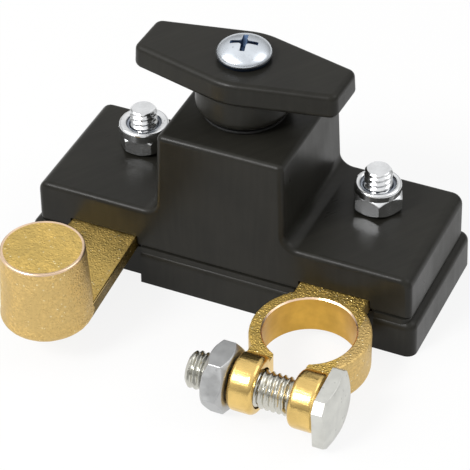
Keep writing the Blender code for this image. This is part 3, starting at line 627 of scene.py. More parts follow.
def worked_material(name, colour, roughness, line_size, turn=0.0):
    """Machined or polished brass: warm and bright, with fine tool lines."""
    made, nodes, shader = new_material(name)
    grain = group_in(nodes, "surface grain", Size=0.0011, Patch_Size=0.005, Contrast=1.0)
    lines = group_in(nodes, "streaks", Line_Size=line_size, Run=0.006, Turn=turn)
    tint = nodes.mix(grain.outputs["Patches"], shade(colour, 0.86), shade(colour, 1.08))
    scored = nodes.mix(nodes.maths("MULTIPLY", lines.outputs["Lines"], 0.35), tint, shade(colour, 0.7))
    nodes.link(scored, shader.inputs["Base Color"])
    shader.inputs["Metallic"].default_value = 1.0
    nodes.link(nodes.ramp(lines.outputs["Lines"], 0.0, 1.0, roughness, roughness + 0.12),
               shader.inputs["Roughness"])
    scores = nodes.maths("MULTIPLY", lines.outputs["Lines"], 0.5)
    bump(nodes, shader, nodes.maths("ADD", grain.outputs["Height"], scores), 0.5, 0.00006)
    return made


def plated_material(name, colour, roughness, lift=0.00002):
    """Zinc plate: bright, with cloudy gloss and small pits."""
    made, nodes, shader = new_material(name)
    grain = group_in(nodes, "surface grain", Size=0.0007, Patch_Size=0.0035, Contrast=1.0)
    pits = group_in(nodes, "glints", Size=0.0008, Share=0.05)
    tint = nodes.mix(grain.outputs["Patches"], shade(colour, 0.9), shade(colour, 1.05))
    pitted = nodes.mix(nodes.maths("MULTIPLY", pits.outputs["Mask"], 0.5), tint, shade(colour, 0.5))
    nodes.link(pitted, shader.inputs["Base Color"])
    shader.inputs["Metallic"].default_value = 1.0
    nodes.link(nodes.ramp(grain.outputs["Patches"], 0.0, 1.0, roughness - 0.04, roughness + 0.06),
               shader.inputs["Roughness"])
    bump(nodes, shader, grain.outputs["Height"], 0.5, lift)
    return made


def make_materials(scene):
    """Every finish on the switch, by name."""
    housing, brass, fasteners = scene.switch_housing, scene.switch_brass, scene.switch_fasteners
    black, cast, bright, zinc = (tuple(group) for group in
                                 (housing.colour, brass.colour, brass.bright, fasteners.colour))
    make_surface_grain()
    make_glints()
    make_streaks()
    plastic_material("moulded black", black, 0.34, 0.175)
    plastic_material("moulded brown", (0.06, 0.05, 0.04), 0.5, 0.4)
    plastic_material("seal rubber", (0.015, 0.015, 0.015), 0.7, 0.3)
    plastic_material("nylon ring", (0.30, 0.33, 0.38), 0.5, 0.4)
    cast_material("cast brass", cast, 0.50, 0.0001, 0.05, 0.0006)
    cast_material("sandy brass", (0.76, 0.53, 0.15), 0.48, 0.00017, 0.12, 0.0005)
    cast_material("arm brass", (0.84, 0.60, 0.19), 0.46, 0.00008, 0.05, 0.0007)
    # Painted shade: a darker copy of the cast brass for the arm's sides.
    cast_material("brass in painted shade", (0.24, 0.16, 0.035), 0.5, 0.0001, 0.01, 0.0006)
    # Painted shade: the bored brass is darker and deeper than the cast, for the shade inside the ring and
    # slit; its tool lines are real.
    worked_material("bored brass in painted shade", (0.64, 0.37, 0.065), 0.32, 0.004)
    worked_material("polished brass", bright, 0.19, 0.0006, math.radians(90))
    # The rim brass is smooth like worn metal, and its paler colour is a painted highlight.
    worked_material("rim with painted highlight", (0.88, 0.65, 0.46), 0.26, 0.002)
    plated_material("bright zinc", zinc, 0.20)
    plated_material("thread zinc", (0.62, 0.61, 0.55), 0.22)
    plated_material("matt zinc", (0.68, 0.68, 0.64), 0.42, 0.00004)
    plated_material("dull zinc", (0.50, 0.505, 0.505), 0.40, 0.00004)
    plated_material("shaded zinc", (0.07, 0.11, 0.19), 0.45)
    plated_material("blue zinc", (0.70, 0.745, 0.80), 0.27)
    plated_material("contact copper", (0.75, 0.36, 0.2), 0.3)


def finish_named(*names):
    """Materials by name."""
    return [bpy.data.materials[name] for name in names]


# Threads by Geometry Nodes

def make_thread_tree():
    """Geometry Nodes: a shank whose skin rises and falls in a helix, with chamfered ends."""
    tree = bpy.data.node_groups.new("threaded shank", "GeometryNodeTree")
    sizes = {"Radius": 0.004, "Depth": 0.0005, "Pitch": 0.001, "Length": 0.02, "Lead": 0.0007}
    counts = {"Sides": 48, "Rows": 200}
    for kind, values in (("NodeSocketFloat", sizes), ("NodeSocketInt", counts)):
        for label, value in values.items():
            tree.interface.new_socket(label, in_out="INPUT", socket_type=kind).default_value = value
    tree.interface.new_socket("Finish", in_out="INPUT", socket_type="NodeSocketMaterial")
    tree.interface.new_socket("Geometry", in_out="OUTPUT", socket_type="NodeSocketGeometry")
    nodes = Nodes(tree)
    start, end = nodes.add("NodeGroupInput"), nodes.add("NodeGroupOutput")
    given = start.outputs
    shank = nodes.add("GeometryNodeMeshCylinder", fill_type="NGON",
                      inputs={"Vertices": given["Sides"], "Side Segments": given["Rows"],
                              "Radius": given["Radius"], "Depth": given["Length"]})
    place = nodes.add("GeometryNodeInputPosition").outputs[0]
    parts = nodes.add("ShaderNodeSeparateXYZ", inputs={0: place}).outputs
    angle = nodes.maths("DIVIDE", nodes.maths("ARCTAN2", parts[1], parts[0]), 2 * math.pi)
    turns = nodes.maths("SUBTRACT", nodes.maths("DIVIDE", parts[2], given["Pitch"]), angle)
    saw = nodes.maths("SUBTRACT", nodes.maths("FRACT", turns), 0.5)
    wave = nodes.maths("MULTIPLY", nodes.maths("ABSOLUTE", saw), 2.0)
    valley = nodes.maths("SMOOTH_MIN", nodes.ramp(wave, 0.1, 0.9), 1.0, 0.2)
    crest = nodes.maths("SUBTRACT", given["Radius"], nodes.maths("MULTIPLY", valley, given["Depth"]))
    half = nodes.maths("DIVIDE", given["Length"], 2.0)
    reach = nodes.maths("SUBTRACT", half, nodes.maths("ABSOLUTE", parts[2]))
    lead = nodes.maths("ADD", nodes.maths("SUBTRACT", given["Radius"], given["Lead"]), reach)
    radius = nodes.maths("MINIMUM", crest, lead)
    squares = [nodes.maths("MULTIPLY", part, part) for part in (parts[0], parts[1])]
    across = nodes.maths("SQRT", nodes.maths("ADD", *squares))
    share = nodes.maths("DIVIDE", radius, nodes.maths("MAXIMUM", across, 0.00001))
    drawn = [nodes.maths("MULTIPLY", part, share) for part in (parts[0], parts[1])]
    spot = nodes.add("ShaderNodeCombineXYZ", inputs={0: drawn[0], 1: drawn[1], 2: parts[2]})
    moved = nodes.add("GeometryNodeSetPosition", inputs={"Geometry": shank.outputs["Mesh"],
                                                         "Position": spot.outputs[0]})
    real = nodes.add("GeometryNodeRealizeInstances", inputs={0: moved.outputs[0]})
    dressed = nodes.add("GeometryNodeSetMaterial", inputs={"Geometry": real.outputs[0],
                                                           "Material": given["Finish"]})
    nodes.link(dressed.outputs[0], end.inputs[0])
    return tree


def threaded_rod(radius, length, lead, fasteners):
    """A threaded shank as a shape in millimetres, its foot at the origin."""
    depth_share, rows_per_turn = 0.42, 9
    tree = bpy.data.node_groups.get("threaded shank") or make_thread_tree()
    piece = bpy.data.objects.new("shank", bpy.data.meshes.new("shank"))
    bpy.context.scene.collection.objects.link(piece)
    maker = piece.modifiers.new("thread", "NODES")
    maker.node_group = tree
    pitch = fasteners.pitch
    values = {"Radius": radius, "Depth": depth_share * pitch, "Pitch": pitch, "Length": length * MM,
              "Lead": lead * MM, "Sides": fasteners.thread_sides,
              "Rows": int(length * MM / pitch * rows_per_turn), "Finish": bpy.data.materials["bright zinc"]}
    for item in tree.interface.items_tree:
        if item.in_out == "INPUT":
            maker[item.identifier] = values[item.name]
    shape = shape_of(keep_result(piece))
    move_shape(shape, 0, 0, length / 2)
    for face in shape.faces:
        face.material_index = 0
    bmesh.ops.recalc_face_normals(shape, faces=shape.faces)
    return shape


# The pieces of the switch

def housing_outline(housing, grow, bottom):
    """Front view of the wings and tower, grown outwards or, if negative, inwards."""
    smallest_fillet = 0.6
    wing_half = housing.wing_length / MM / 2 + grow
    wing_foot = wing_half + (WING_TOP - bottom) * HOUSING_DRAFT
    tower_top = housing.tower_width / MM / 2 + grow
    tower_foot = tower_top + (TOWER_TOP - WING_TOP) * HOUSING_DRAFT
    corner = max(TOWER_FILLET - grow, smallest_fillet)
    right = [(wing_foot, bottom), (wing_half, WING_TOP + grow)]
    right += arc(tower_foot + corner, WING_TOP + grow + corner, corner, 270, 180, 12)
    right += [(tower_top, TOWER_TOP + grow)]
    return right + [(-x, z) for x, z in reversed(right)]


def housing_shell(housing):
    """Wings and tower as one shell with its slots and holes."""
    half = housing.wing_depth / MM / 2
    outer = prism(housing_outline(housing, 0, SHELL_FOOT), -half, half, "Y")
    lean(outer, HOUSING_DRAFT, WING_TOP, "y")
    round_edges(outer, housing.end_round / MM, 6, wing_end_edge)
    round_edges(outer, housing.edge_round / MM, 6, sharper_than(30.0))
    body = piece_from(outer, "housing_shell")
    inner = half - HOUSING_WALL
    cavity = prism(housing_outline(housing, -HOUSING_WALL, HOUSING_BOTTOM - 1), -inner, inner, "Y")
    lean(cavity, HOUSING_DRAFT, WING_TOP, "y")
    in_roof = HOUSING_WALL / 2
    steps = [("DIFFERENCE", block(*ROOMY, SHELL_FOOT - 5, HOUSING_BOTTOM)), ("DIFFERENCE", cavity),
             ("UNION", rod(SLEEVE_RADIUS, SLEEVE_BOTTOM, TOWER_TOP - in_roof, KNOB_X)),
             ("DIFFERENCE", rod(SPINDLE_HOLE, SLEEVE_BOTTOM - 1.1, TOWER_TOP + 1, KNOB_X))]
    for side, arm_x in SIDES:
        x = side * STUD_X
        slot = block(ARM_SLOT, half, HOUSING_BOTTOM - 1, ARM_TOP + GAP, arm_x, -half - 1)
        steps += [("UNION", rod(BOSS_RADIUS, ARM_TOP + GAP, WING_TOP - in_roof, x, STUD_Y)),
                  ("DIFFERENCE", rod(STUD_HOLE, HOUSING_BOTTOM - 1, WING_TOP + 1, x, STUD_Y)),
                  ("DIFFERENCE", slot)]
    return carve(body, *steps)


def tray_body(housing):
    """Base tray with its raised rim, notches under the arms and seats for the studs."""
    draft, shoulder, floor, wall = 0.045, 1.8, 2.4, 2.3
    corner, rim_corner, inside_corner, rim_inset = 2.2, 1.9, 1.3, 0.15
    notch_width, notch_depth, notch_shift = 17.8, 2.6, 0.2
    pillar, head_pocket, head_top = 8.02, 6.12, 4.3
    centre_x, centre_y = -0.35, 0.6
    length, depth = housing.base_length / MM, housing.base_depth / MM
    outer = prism(rounded_rectangle(length, depth, corner, 10), -2 * shoulder, BASE_TOP)
    for along in "xy":
        lean(outer, draft, 0, along)
    round_edges(outer, shoulder, 7, sharper_than(50.0))
    body = piece_from(move_shape(outer, centre_x, centre_y, 0), "tray_body")
    foot = 2 * ((WING_TOP - HOUSING_BOTTOM) * HOUSING_DRAFT - rim_inset)
    rim_length, rim_depth = housing.wing_length / MM + foot, housing.wing_depth / MM + foot
    rim = prism(rounded_rectangle(rim_length, rim_depth, rim_corner), BASE_TOP - 2 * shoulder, RIM_TOP)
    inside_outline = rounded_rectangle(rim_length - 2 * wall, rim_depth - 2 * wall, inside_corner)
    steps = [("DIFFERENCE", block(*ROOMY, -9, 0)), ("UNION", rim),
             ("DIFFERENCE", prism(inside_outline, floor, RIM_TOP + 1))]
    rib_top, front = ARM_BOTTOM - GAP, centre_y - depth / 2
    rib_depth = wall + 1
    rib_y = front + notch_depth + wall - rib_depth / 2
    for side, arm_x in SIDES:
        x = side * STUD_X
        notch_x = arm_x + notch_shift if side > 0 else x
        rib = block(notch_width + 2 * wall, rib_depth, floor / 2, rib_top, notch_x, rib_y)
        notch = block(notch_width, 2 * notch_depth, -1, RIM_TOP + 1, notch_x, front)
        arm_seat = block(ARM_SLOT, 2 * (notch_depth + wall + 1), rib_top, RIM_TOP + 1, arm_x, front)
        steps += [("UNION", rib), ("DIFFERENCE", notch), ("DIFFERENCE", arm_seat),
                  ("UNION", rod(pillar, floor / 2, rib_top, x, STUD_Y)),
                  ("DIFFERENCE", rod(head_pocket, -1, head_top, x, STUD_Y, 6)),
                  ("DIFFERENCE", rod(STUD_HOLE, 0, rib_top + 1, x, STUD_Y))]
    return carve(body, *steps)


def arm_outline(side, x, end_half, end_y):
    """Plan of a flat arm: pad under the stud, contact tongue, and the bar that leaves the housing."""
    near, far = x - side * ARM_HALF, x + side * ARM_HALF
    tongue = KNOB_X + side * CONTACT_X
    return [(near, ARM_FRONT), (x - side * end_half, end_y), (x + side * end_half, end_y),
            (far, ARM_FRONT), (far, ARM_BACK), (near, ARM_BACK), (near, CONTACT_HALF),
            (tongue, CONTACT_HALF), (tongue, -CONTACT_HALF), (near, -CONTACT_HALF)]


def battery_post(brass):
    """Tapered post with a flat rough top and a thin smooth rim whose paler colour is a painted highlight,
    cast with its arm.
    """
    top_radius, height, taper, rim, foot_round = brass.post_radius / MM, 17.9, 1 / 18, 0.42, 1.9
    arm_inset, arm_round, top_sink, top_gap, rings, rows = 0.6, 0.35, 0.1, 0.25, 22, 30
    foot_radius = top_radius + height * taper
    top = ARM_BOTTOM + height
    arm = prism(arm_outline(-1, POST_X, foot_radius - arm_inset, POST_Y), ARM_BOTTOM, ARM_TOP)
    body = piece_from(round_edges(arm, arm_round, 3, sharper_than(50.0)), "battery_post")
    flat = [((top_radius - rim - top_gap) * k / rings, top - top_sink) for k in range(rings + 1)]
    edge = arc(top_radius - rim, top - rim, rim, 75, 0, 6)
    spread, fall = (height - foot_round) * taper, height - rim - foot_round
    side = [(top_radius + spread * k / rows, top - rim - fall * k / rows) for k in range(1, rows)]
    foot = arc(foot_radius - foot_round, ARM_BOTTOM + foot_round, foot_round, 0, -90, 10)
    profile = flat + edge + side + foot + [(0, ARM_BOTTOM)]
    post = piece_from(turned(profile, 160, POST_X, POST_Y), "post")

    def share_at(place):
        """Full grain, but little of it on the rim round the top."""
        across = math.hypot(place.x - POST_X, place.y - POST_Y)
        on_rim = place.z > top - 0.5 and across > top_radius - rim - 0.3
        return 0.15 if on_rim else 1.0

    roughen(post, brass.grain / MM, 1.3, share_at)
    stud_hole = rod(STUD_HOLE, ARM_BOTTOM - 1, ARM_TOP + 1, -STUD_X, STUD_Y)
    carve(body, ("UNION", shape_of(post)), ("DIFFERENCE", stud_hole))
    cast, arm_top, rim_painted_highlight, arm_edge, arm_side_painted_shade = range(5)

    def pick(centre, normal):
        """Rim with a paler colour as a painted highlight, painted shade down the arm's sides, cast elsewhere.
        """
        across = math.hypot(centre.x - POST_X, centre.y - POST_Y)
        # The rim keeps its own smooth finish, and its paler colour is a painted highlight.
        if centre.z > top - rim - 0.05 and across > top_radius - rim - 0.2:
            return rim_painted_highlight
        # The arm's sides get the brass in painted shade, here and below.
        if abs(normal.x) > 0.99 and centre.y > POST_Y + 2:
            return arm_side_painted_shade
        if across > foot_radius + 0.1 and centre.z < ARM_TOP + 0.1:
            return arm_top if normal.z > 0.85 else arm_edge if normal.z > 0.25 else arm_side_painted_shade
        return arm_top if normal.z > 0.7 else cast

    smooth(body)
    finishes = finish_named("cast brass", "arm brass", "rim with painted highlight", "polished brass", "brass in painted shade")
    paint(body, finishes, pick)
    return body


def stretched_ring(profile, x):
    """A shape turned round the clamp's axis, a little longer than it is wide."""
    ring = turned(profile, 128)
    bmesh.ops.scale(ring, vec=(1, RING_STRETCH, 1), verts=ring.verts)
    return move_shape(ring, x, RING_Y, 0)


def clamp_casting(ring_radius):
    """The clamp's arm, ring and necks blended into one casting, before anything is bored."""
    edge, arm_round, neck_round, ring_shift, voxel = 0.45, 0.3, 0.4, 0.2, 0.28
    arm = prism(arm_outline(1, CLAMP_X, ARM_HALF, RING_Y + 4.1), ARM_BOTTOM, ARM_TOP)
    body = piece_from(round_edges(arm, arm_round, 2, sharper_than(50.0)), "post_clamp")
    profile = [(0, ARM_TOP)] + arc(ring_radius - edge, ARM_TOP - edge, edge, 90, 0, 4)
    profile += arc(ring_radius - edge, RING_BOTTOM + edge, edge, 0, -90, 4) + [(0, RING_BOTTOM)]
    steps = [("UNION", stretched_ring(profile, CLAMP_X + ring_shift))]
    neck_back = RING_Y - 6.0
    neck = [(neck_back, RING_BOTTOM + 0.2), (neck_back, ARM_TOP), (BOLT_Y + 2.6, ARM_TOP),
            (BOLT_Y + 1.0, RING_BOTTOM + 1.2)]
    for low, high in ((-EAR_OUTER + 0.1, -EAR_INNER + 0.6), (EAR_INNER - 0.6, EAR_OUTER - 0.1)):
        bar = prism(neck, CLAMP_X + low, CLAMP_X + high, "X")
        steps.append(("UNION", round_edges(bar, neck_round, 3, sharper_than(50.0))))
    carve(body, *steps)
    grid = body.modifiers.new("grid", "REMESH")
    grid.mode = "VOXEL"
    grid.voxel_size = voxel * MM
    even = body.modifiers.new("even", "SMOOTH")
    even.factor, even.iterations = 0.5, 3
    return keep_result(body)


def slit_outline(bore_radius):
    """Plan of the slit: rounded where it leaves the bore, straight between the ears and past them."""
    mouth, past_ears, into_bore = 1.4, 9, 2
    mouth_x = EAR_INNER + mouth
    mouth_y = math.sqrt((bore_radius + mouth) ** 2 - mouth_x ** 2)
    meet = math.degrees(math.atan2(mouth_y, -mouth_x))
    mouth_line = RING_Y - mouth_y * RING_STRETCH
    side = [(CLAMP_X + x, mouth_line + y) for x, y in arc(mouth_x, 0, mouth, meet, 180, 8)]
    side.append((CLAMP_X + EAR_INNER, BOLT_Y - past_ears))
    mirrored = [(2 * CLAMP_X - x, y) for x, y in reversed(side)]
    return side + mirrored + [(CLAMP_X, RING_Y - bore_radius + into_bore)]


def post_clamp(brass):
    """Split ring with its two ears, cast with its arm: rough outside, bored inside, polished ears."""
    bore_radius, bore_spread, lip, ear_round = brass.bore_radius / MM, 0.55, 0.3, 1.2
    body = clamp_casting(brass.ring_radius / MM)

    def share_at(place):
        """Coarse sand on the arm, finer on the ring's top and little down its sides."""
        if place.z <= ARM_TOP - 0.7:
            return 0.35
        if place.y > RING_Y + 6.5:
            return 1.3
        return 0.3 if place.x > CLAMP_X + 8.5 else 0.8

    roughen(body, brass.grain / MM, 0.75, share_at)
    steps = []
    for low, high in ((-EAR_OUTER, -EAR_INNER), (EAR_INNER, EAR_OUTER)):
        barrel = prism(circle(EAR_Y, BOLT_Z, EAR_RADIUS, 72), CLAMP_X + low, CLAMP_X + high, "X")
        steps.append(("UNION", round_edges(barrel, ear_round, 7, sharper_than(50.0))))
    # The hole is cut before the bore and the slit, and a hair off the ears' centre, because the
    # cut fails where faces lie in one plane
    hole = prism(circle(BOLT_Y + 0.01, BOLT_Z + 0.013, 4.35, 64, 1.7), CLAMP_X - 12.3, CLAMP_X + 12.4, "X")
    bore = stretched_ring([(0, ARM_TOP + 1), (bore_radius + lip + 1, ARM_TOP + 1),
                           (bore_radius + lip, ARM_TOP), (bore_radius, ARM_TOP - lip),
                           (bore_radius + bore_spread, RING_BOTTOM - 1), (0, RING_BOTTOM - 1)], CLAMP_X)
    slit = prism(slit_outline(bore_radius), RING_BOTTOM - 4, ARM_TOP + 4)
    stud_hole = rod(STUD_HOLE, ARM_BOTTOM - 1, ARM_TOP + 1, STUD_X, STUD_Y)
    carve(body, *steps, *(("DIFFERENCE", cutter) for cutter in (hole, bore, slit, stud_hole)))
    cast, bored, ear, sandy, rim_painted_highlight = range(5)

    def pick(centre, normal):
        """Polished ears, a lip with a painted highlight, a bored inside and slit in painted shade, sand on
        top, cast elsewhere.
        """
        aside = abs(centre.x - CLAMP_X)
        from_bolt = math.hypot(centre.y - EAR_Y, centre.z - BOLT_Z)
        if from_bolt < EAR_RADIUS + 0.03 and aside < EAR_OUTER + 0.1:
            return ear
        across = math.hypot(centre.x - CLAMP_X, (centre.y - RING_Y) / RING_STRETCH)
        slanted = abs(normal.z - 0.7) < 0.2
        # The lip round the bore gets the same painted highlight as the post's rim.
        if across < bore_radius + lip + 0.02 and centre.z > ARM_TOP - lip - 0.03 and slanted:
            return rim_painted_highlight
        # Painted shade: the bore and the slit get the darker bored brass.
        if across < bore_radius + 0.52 and abs(normal.z) < 0.3:
            return bored
        if aside < EAR_INNER + 0.02 and abs(normal.x) > 0.9 and centre.y < RING_Y:
            return bored
        on_top = normal.z > 0.6 and centre.z > ARM_TOP - 0.8
        return sandy if on_top and centre.x < CLAMP_X + 9 else cast

    smooth(body)
    finishes = finish_named("cast brass", "bored brass in painted shade", "polished brass", "sandy brass", "rim with painted highlight")
    paint(body, finishes, pick)
    return body


def trimmed_nut(sides, flats, height, turn, drop, corner=0.0, low_end=True, high_end=True, face_share=0.96):
    """An upright nut or bolt head at the origin with turned chamfers."""
    outline = polygon(sides, flats, turn, corner)
    piece = piece_from(prism(outline, 0, height), "nut")
    widest = max(math.hypot(u, v) for u, v in outline)
    face = flats / 2 * face_share
    wide = widest + 0.5
    fall = drop / max(widest - face, 0.01) * (wide - face)
    profile = [(0, height)]
    profile += [(face, height), (wide, height - fall)] if high_end else [(wide, height)]
    profile += [(wide, fall), (face, 0)] if low_end else [(wide, 0)]
    return carve(piece, ("INTERSECT", turned(profile + [(0, 0)], 144)))


def soften(piece, width, steps=2, angle=28.0):
    """Take the sharpness off a piece's edges."""
    bevel = piece.modifiers.new("edges", "BEVEL")
    bevel.width = width * MM
    bevel.segments = steps
    bevel.limit_method = "ANGLE"
    bevel.angle_limit = math.radians(angle)
    return keep_result(piece)


def clamp_bolt_piece(fasteners):
    """Square-head bolt through both ears, with its thread."""
    flats, height, turn, chamfer, corner, face_share = 13.3, 3.5, 5.0, 1.2, 1.9, 0.8
    head_gap, into_head, end, lead = 0.15, 1.2, -19.1, 0.7
    head = trimmed_nut(4, flats, height, turn, chamfer, corner, low_end=False, face_share=face_share)
    head = lay_along_x(shape_of(soften(head, 0.16)), CLAMP_X + HEAD_START + head_gap, BOLT_Y, BOLT_Z)
    shank = threaded_rod(fasteners.bolt_radius, HEAD_START - end + into_head, lead, fasteners)
    body = piece_from(head, "clamp_bolt_square")
    carve(body, ("UNION", lay_along_x(shank, CLAMP_X + end, BOLT_Y, BOLT_Z)))
    smooth(body)
    thread_end = CLAMP_X + HEAD_START - 0.05
    paint(body, finish_named("matt zinc", "thread zinc"), lambda centre, normal: int(centre.x <= thread_end))
    return body


def clamp_nut_piece():
    """Hexagon nut on the clamp bolt."""
    flats, height, turn, chamfer, hole = 13.2, 4.8, 32.0, 1.1, 4.3
    nut = shape_of(soften(trimmed_nut(6, flats, height, turn, chamfer), 0.34, 3))
    body = piece_from(lay_along_x(nut, CLAMP_X - HEAD_START - height, BOLT_Y, BOLT_Z), "clamp_nut_hex")
    carve(body, ("DIFFERENCE", prism(circle(BOLT_Y, BOLT_Z, hole, 64), CLAMP_X - 16, CLAMP_X - 7, "X")))
    smooth(body)
    paint(body, finish_named("dull zinc"))
    return body


def stud_piece(side, name, fasteners):
    """Stud bolt with its thread and its hexagon head under the base."""
    head_bottom, head_height, chamfer, shank_bottom, lead = 0.4, 3.6, 0.6, 2.4, 0.55
    head = shape_of(soften(trimmed_nut(6, M6_FLATS, head_height, 0, chamfer, high_end=False), 0.12))
    body = piece_from(move_shape(head, side * STUD_X, STUD_Y, head_bottom), name)
    shank = threaded_rod(fasteners.stud_radius, STUD_TOP - shank_bottom, lead, fasteners)
    carve(body, ("UNION", move_shape(shank, side * STUD_X, STUD_Y, shank_bottom)))
    smooth(body)
    paint(body, finish_named("bright zinc"))
    return body


def lock_nut_piece(side, name, turn, outer):
    """Lock nut: a hexagon under a round collar that is rolled over a nylon ring."""
    top, hexagon_top, chamfer, collar_foot, roll = 5.9, 4.3, 0.9, 3.7, 0.6
    ring_foot, ring_room, lip = 3.45, 4.45, 3.85
    nut = soften(trimmed_nut(6, M6_FLATS, hexagon_top, turn, chamfer), 0.14)
    body = piece_from(shape_of(nut), name)
    collar = [(0, top - 0.2), (lip + 0.05, top - 0.2)] + arc(outer - roll, top - roll, roll, 90, 0, 8)
    collar += [(outer, collar_foot), (0, collar_foot)]
    mouth = [(0, top + 1), (4.3, top + 1), (4.15, top), (lip, top - 0.3), (lip, top - 1), (0, top - 1)]
    carve(body, ("UNION", turned(collar, 96)), ("DIFFERENCE", rod(STUD_HOLE, -1, top + 1)),
          ("DIFFERENCE", rod(ring_room, ring_foot, top - 0.35)), ("DIFFERENCE", turned(mouth)))
    body.data.transform(Matrix.Translation((side * STUD_X * MM, STUD_Y * MM, NUT_BOTTOM * MM)))
    smooth(body)
    paint(body, finish_named("bright zinc"))
    return body


def knob_outline(half, end, middle):
    """Plan of the lever: a long hexagon with round corners and a softly rounded middle."""
    end_round, middle_round = 2.0, 14.0
    slant = math.atan2(middle - end, half)
    degrees = math.degrees(slant)
    tip_y = end - end_round * (1 - math.sin(slant)) / math.cos(slant)
    tip = arc(half - end_round, tip_y, end_round, 0, 90 - degrees, 8)
    bend = arc(0, middle - middle_round, middle_round, 90 - degrees, 90, 8)
    quarter = tip + bend
    right_back = quarter + [(-x, y) for x, y in reversed(quarter[:-1])]
    return right_back + [(-x, -y) for x, y in right_back]


def knob_piece(knob):
    """Lever and hub moulded in one."""
    end_half, middle_half, draft = 5.55, 10.4, 0.03
    hub_radius, hub_neck, foot_centre, foot_round = 9.6, 10.2, 7.9, 2.4
    socket, screw_hole = 6.1, 2.3
    thickness = knob.lever_thickness / MM
    top = KNOB_BOTTOM + thickness
    lever = prism(knob_outline(knob.lever_length / MM / 2, end_half, middle_half), KNOB_BOTTOM, top)
    for point in lever.verts:
        if point.co.z > KNOB_BOTTOM + thickness / 2:
            shrink = 1 - draft * thickness / math.hypot(point.co.x, point.co.y)
            point.co.x *= shrink
            point.co.y *= shrink
    body = piece_from(round_edges(lever, knob.edge_round / MM, 6, sharper_than(60.0)), "knob_lever")
    hub = [(0, KNOB_BOTTOM + 1.5), (hub_radius, KNOB_BOTTOM + 1.5), (hub_neck, KNOB_BOTTOM - 0.6)]
    hub += arc(foot_centre, HUB_BOTTOM + foot_round, foot_round, 0, -90, 10) + [(0, HUB_BOTTOM)]
    carve(body, ("UNION", turned(hub, 128)),
          ("DIFFERENCE", block(socket, socket, HUB_BOTTOM - 1, KNOB_BOTTOM - 1)),
          ("DIFFERENCE", rod(screw_hole, KNOB_BOTTOM - 2, top + 1)))
    turn_on_spindle(body, knob.turn)
    smooth(body)
    paint(body, finish_named("moulded black"))
    return body


def turn_on_spindle(piece, angle):
    """Turn a piece made at the origin and move it onto the knob's axis."""
    piece.data.transform(Matrix.Translation((KNOB_X * MM, 0, 0)) @ Matrix.Rotation(angle, 4, "Z"))


def cross_outline(span, half, web, turn):
    """Plan of a cross with a small web in each of its four corners."""
    far, near = half + web, half + 0.3 * web
    quarter = ((far, half), (near, near), (half, far), (half, span), (-half, span))
    points = []
    for k in range(4):
        across = Matrix.Rotation(math.radians(90 * k + turn), 2)
        points += [tuple(across @ Vector(spot)) for spot in quarter]
    return points


def cross_recess(top, depth, turn):
    """The cross-shaped driver recess: four wings that narrow towards the bottom."""
    shape = bmesh.new()
    levels = ((top + 0.6, 3.4, 0.6, 0.6), (top - 0.35, 2.95, 0.52, 0.5), (top - depth, 1.0, 0.4, 0.2))
    rings = []
    for z, span, half, web in levels:
        rings.append([shape.verts.new((x, y, z)) for x, y in cross_outline(span, half, web, turn)])
    shape.faces.new(rings[0])
    shape.faces.new(rings[-1])
    for upper, lower in zip(rings, rings[1:]):
        for k in range(len(upper)):
            following = (k + 1) % len(upper)
            shape.faces.new((upper[k], upper[following], lower[following], lower[k]))
    bmesh.ops.recalc_face_normals(shape, faces=shape.faces)
    return shape


def knob_screw_piece(knob):
    """Domed screw with its cross recess."""
    radius, height, shank_radius = knob.screw_radius / MM, knob.screw_height / MM, 2.0
    recess_depth, recess_turn = 1.9, 16.5
    rim, end = SCREW_SEAT + 1.1, SCREW_SEAT - 18.0
    dome = [(radius * u, rim + height * v) for u, v in arc(0, 0, 1, 90, 0, 24)]
    dome[0] = (0, rim + height)
    side = [(radius - 0.05, rim - 0.15), (radius - 0.12, rim - 0.3), (radius - 0.4, SCREW_SEAT + 0.1),
            (radius - 0.5, SCREW_SEAT)]
    shank = [(shank_radius, SCREW_SEAT), (shank_radius, end + 0.6), (shank_radius - 0.6, end), (0, end)]
    body = piece_from(turned(dome + side + shank), "knob_screw_dome")
    carve(body, ("DIFFERENCE", cross_recess(rim + height, recess_depth, recess_turn)))
    soften(body, 0.09, angle=35.0)
    smooth(body)

    def pick(centre, normal):
        """Bright on the dome, shaded in the recess and round the foot of the head."""
        across = math.hypot(centre.x, centre.y)
        inside = math.hypot(across / radius, (centre.z - rim) / height) < 0.965 and across < 3.9
        wall = across > radius - 0.6 and centre.z < rim - 0.15
        return int(centre.z > SCREW_SEAT - 0.5 and (inside or wall))

    paint(body, finish_named("blue zinc", "shaded zinc"), pick)
    turn_on_spindle(body, knob.turn)
    return body


# The stage

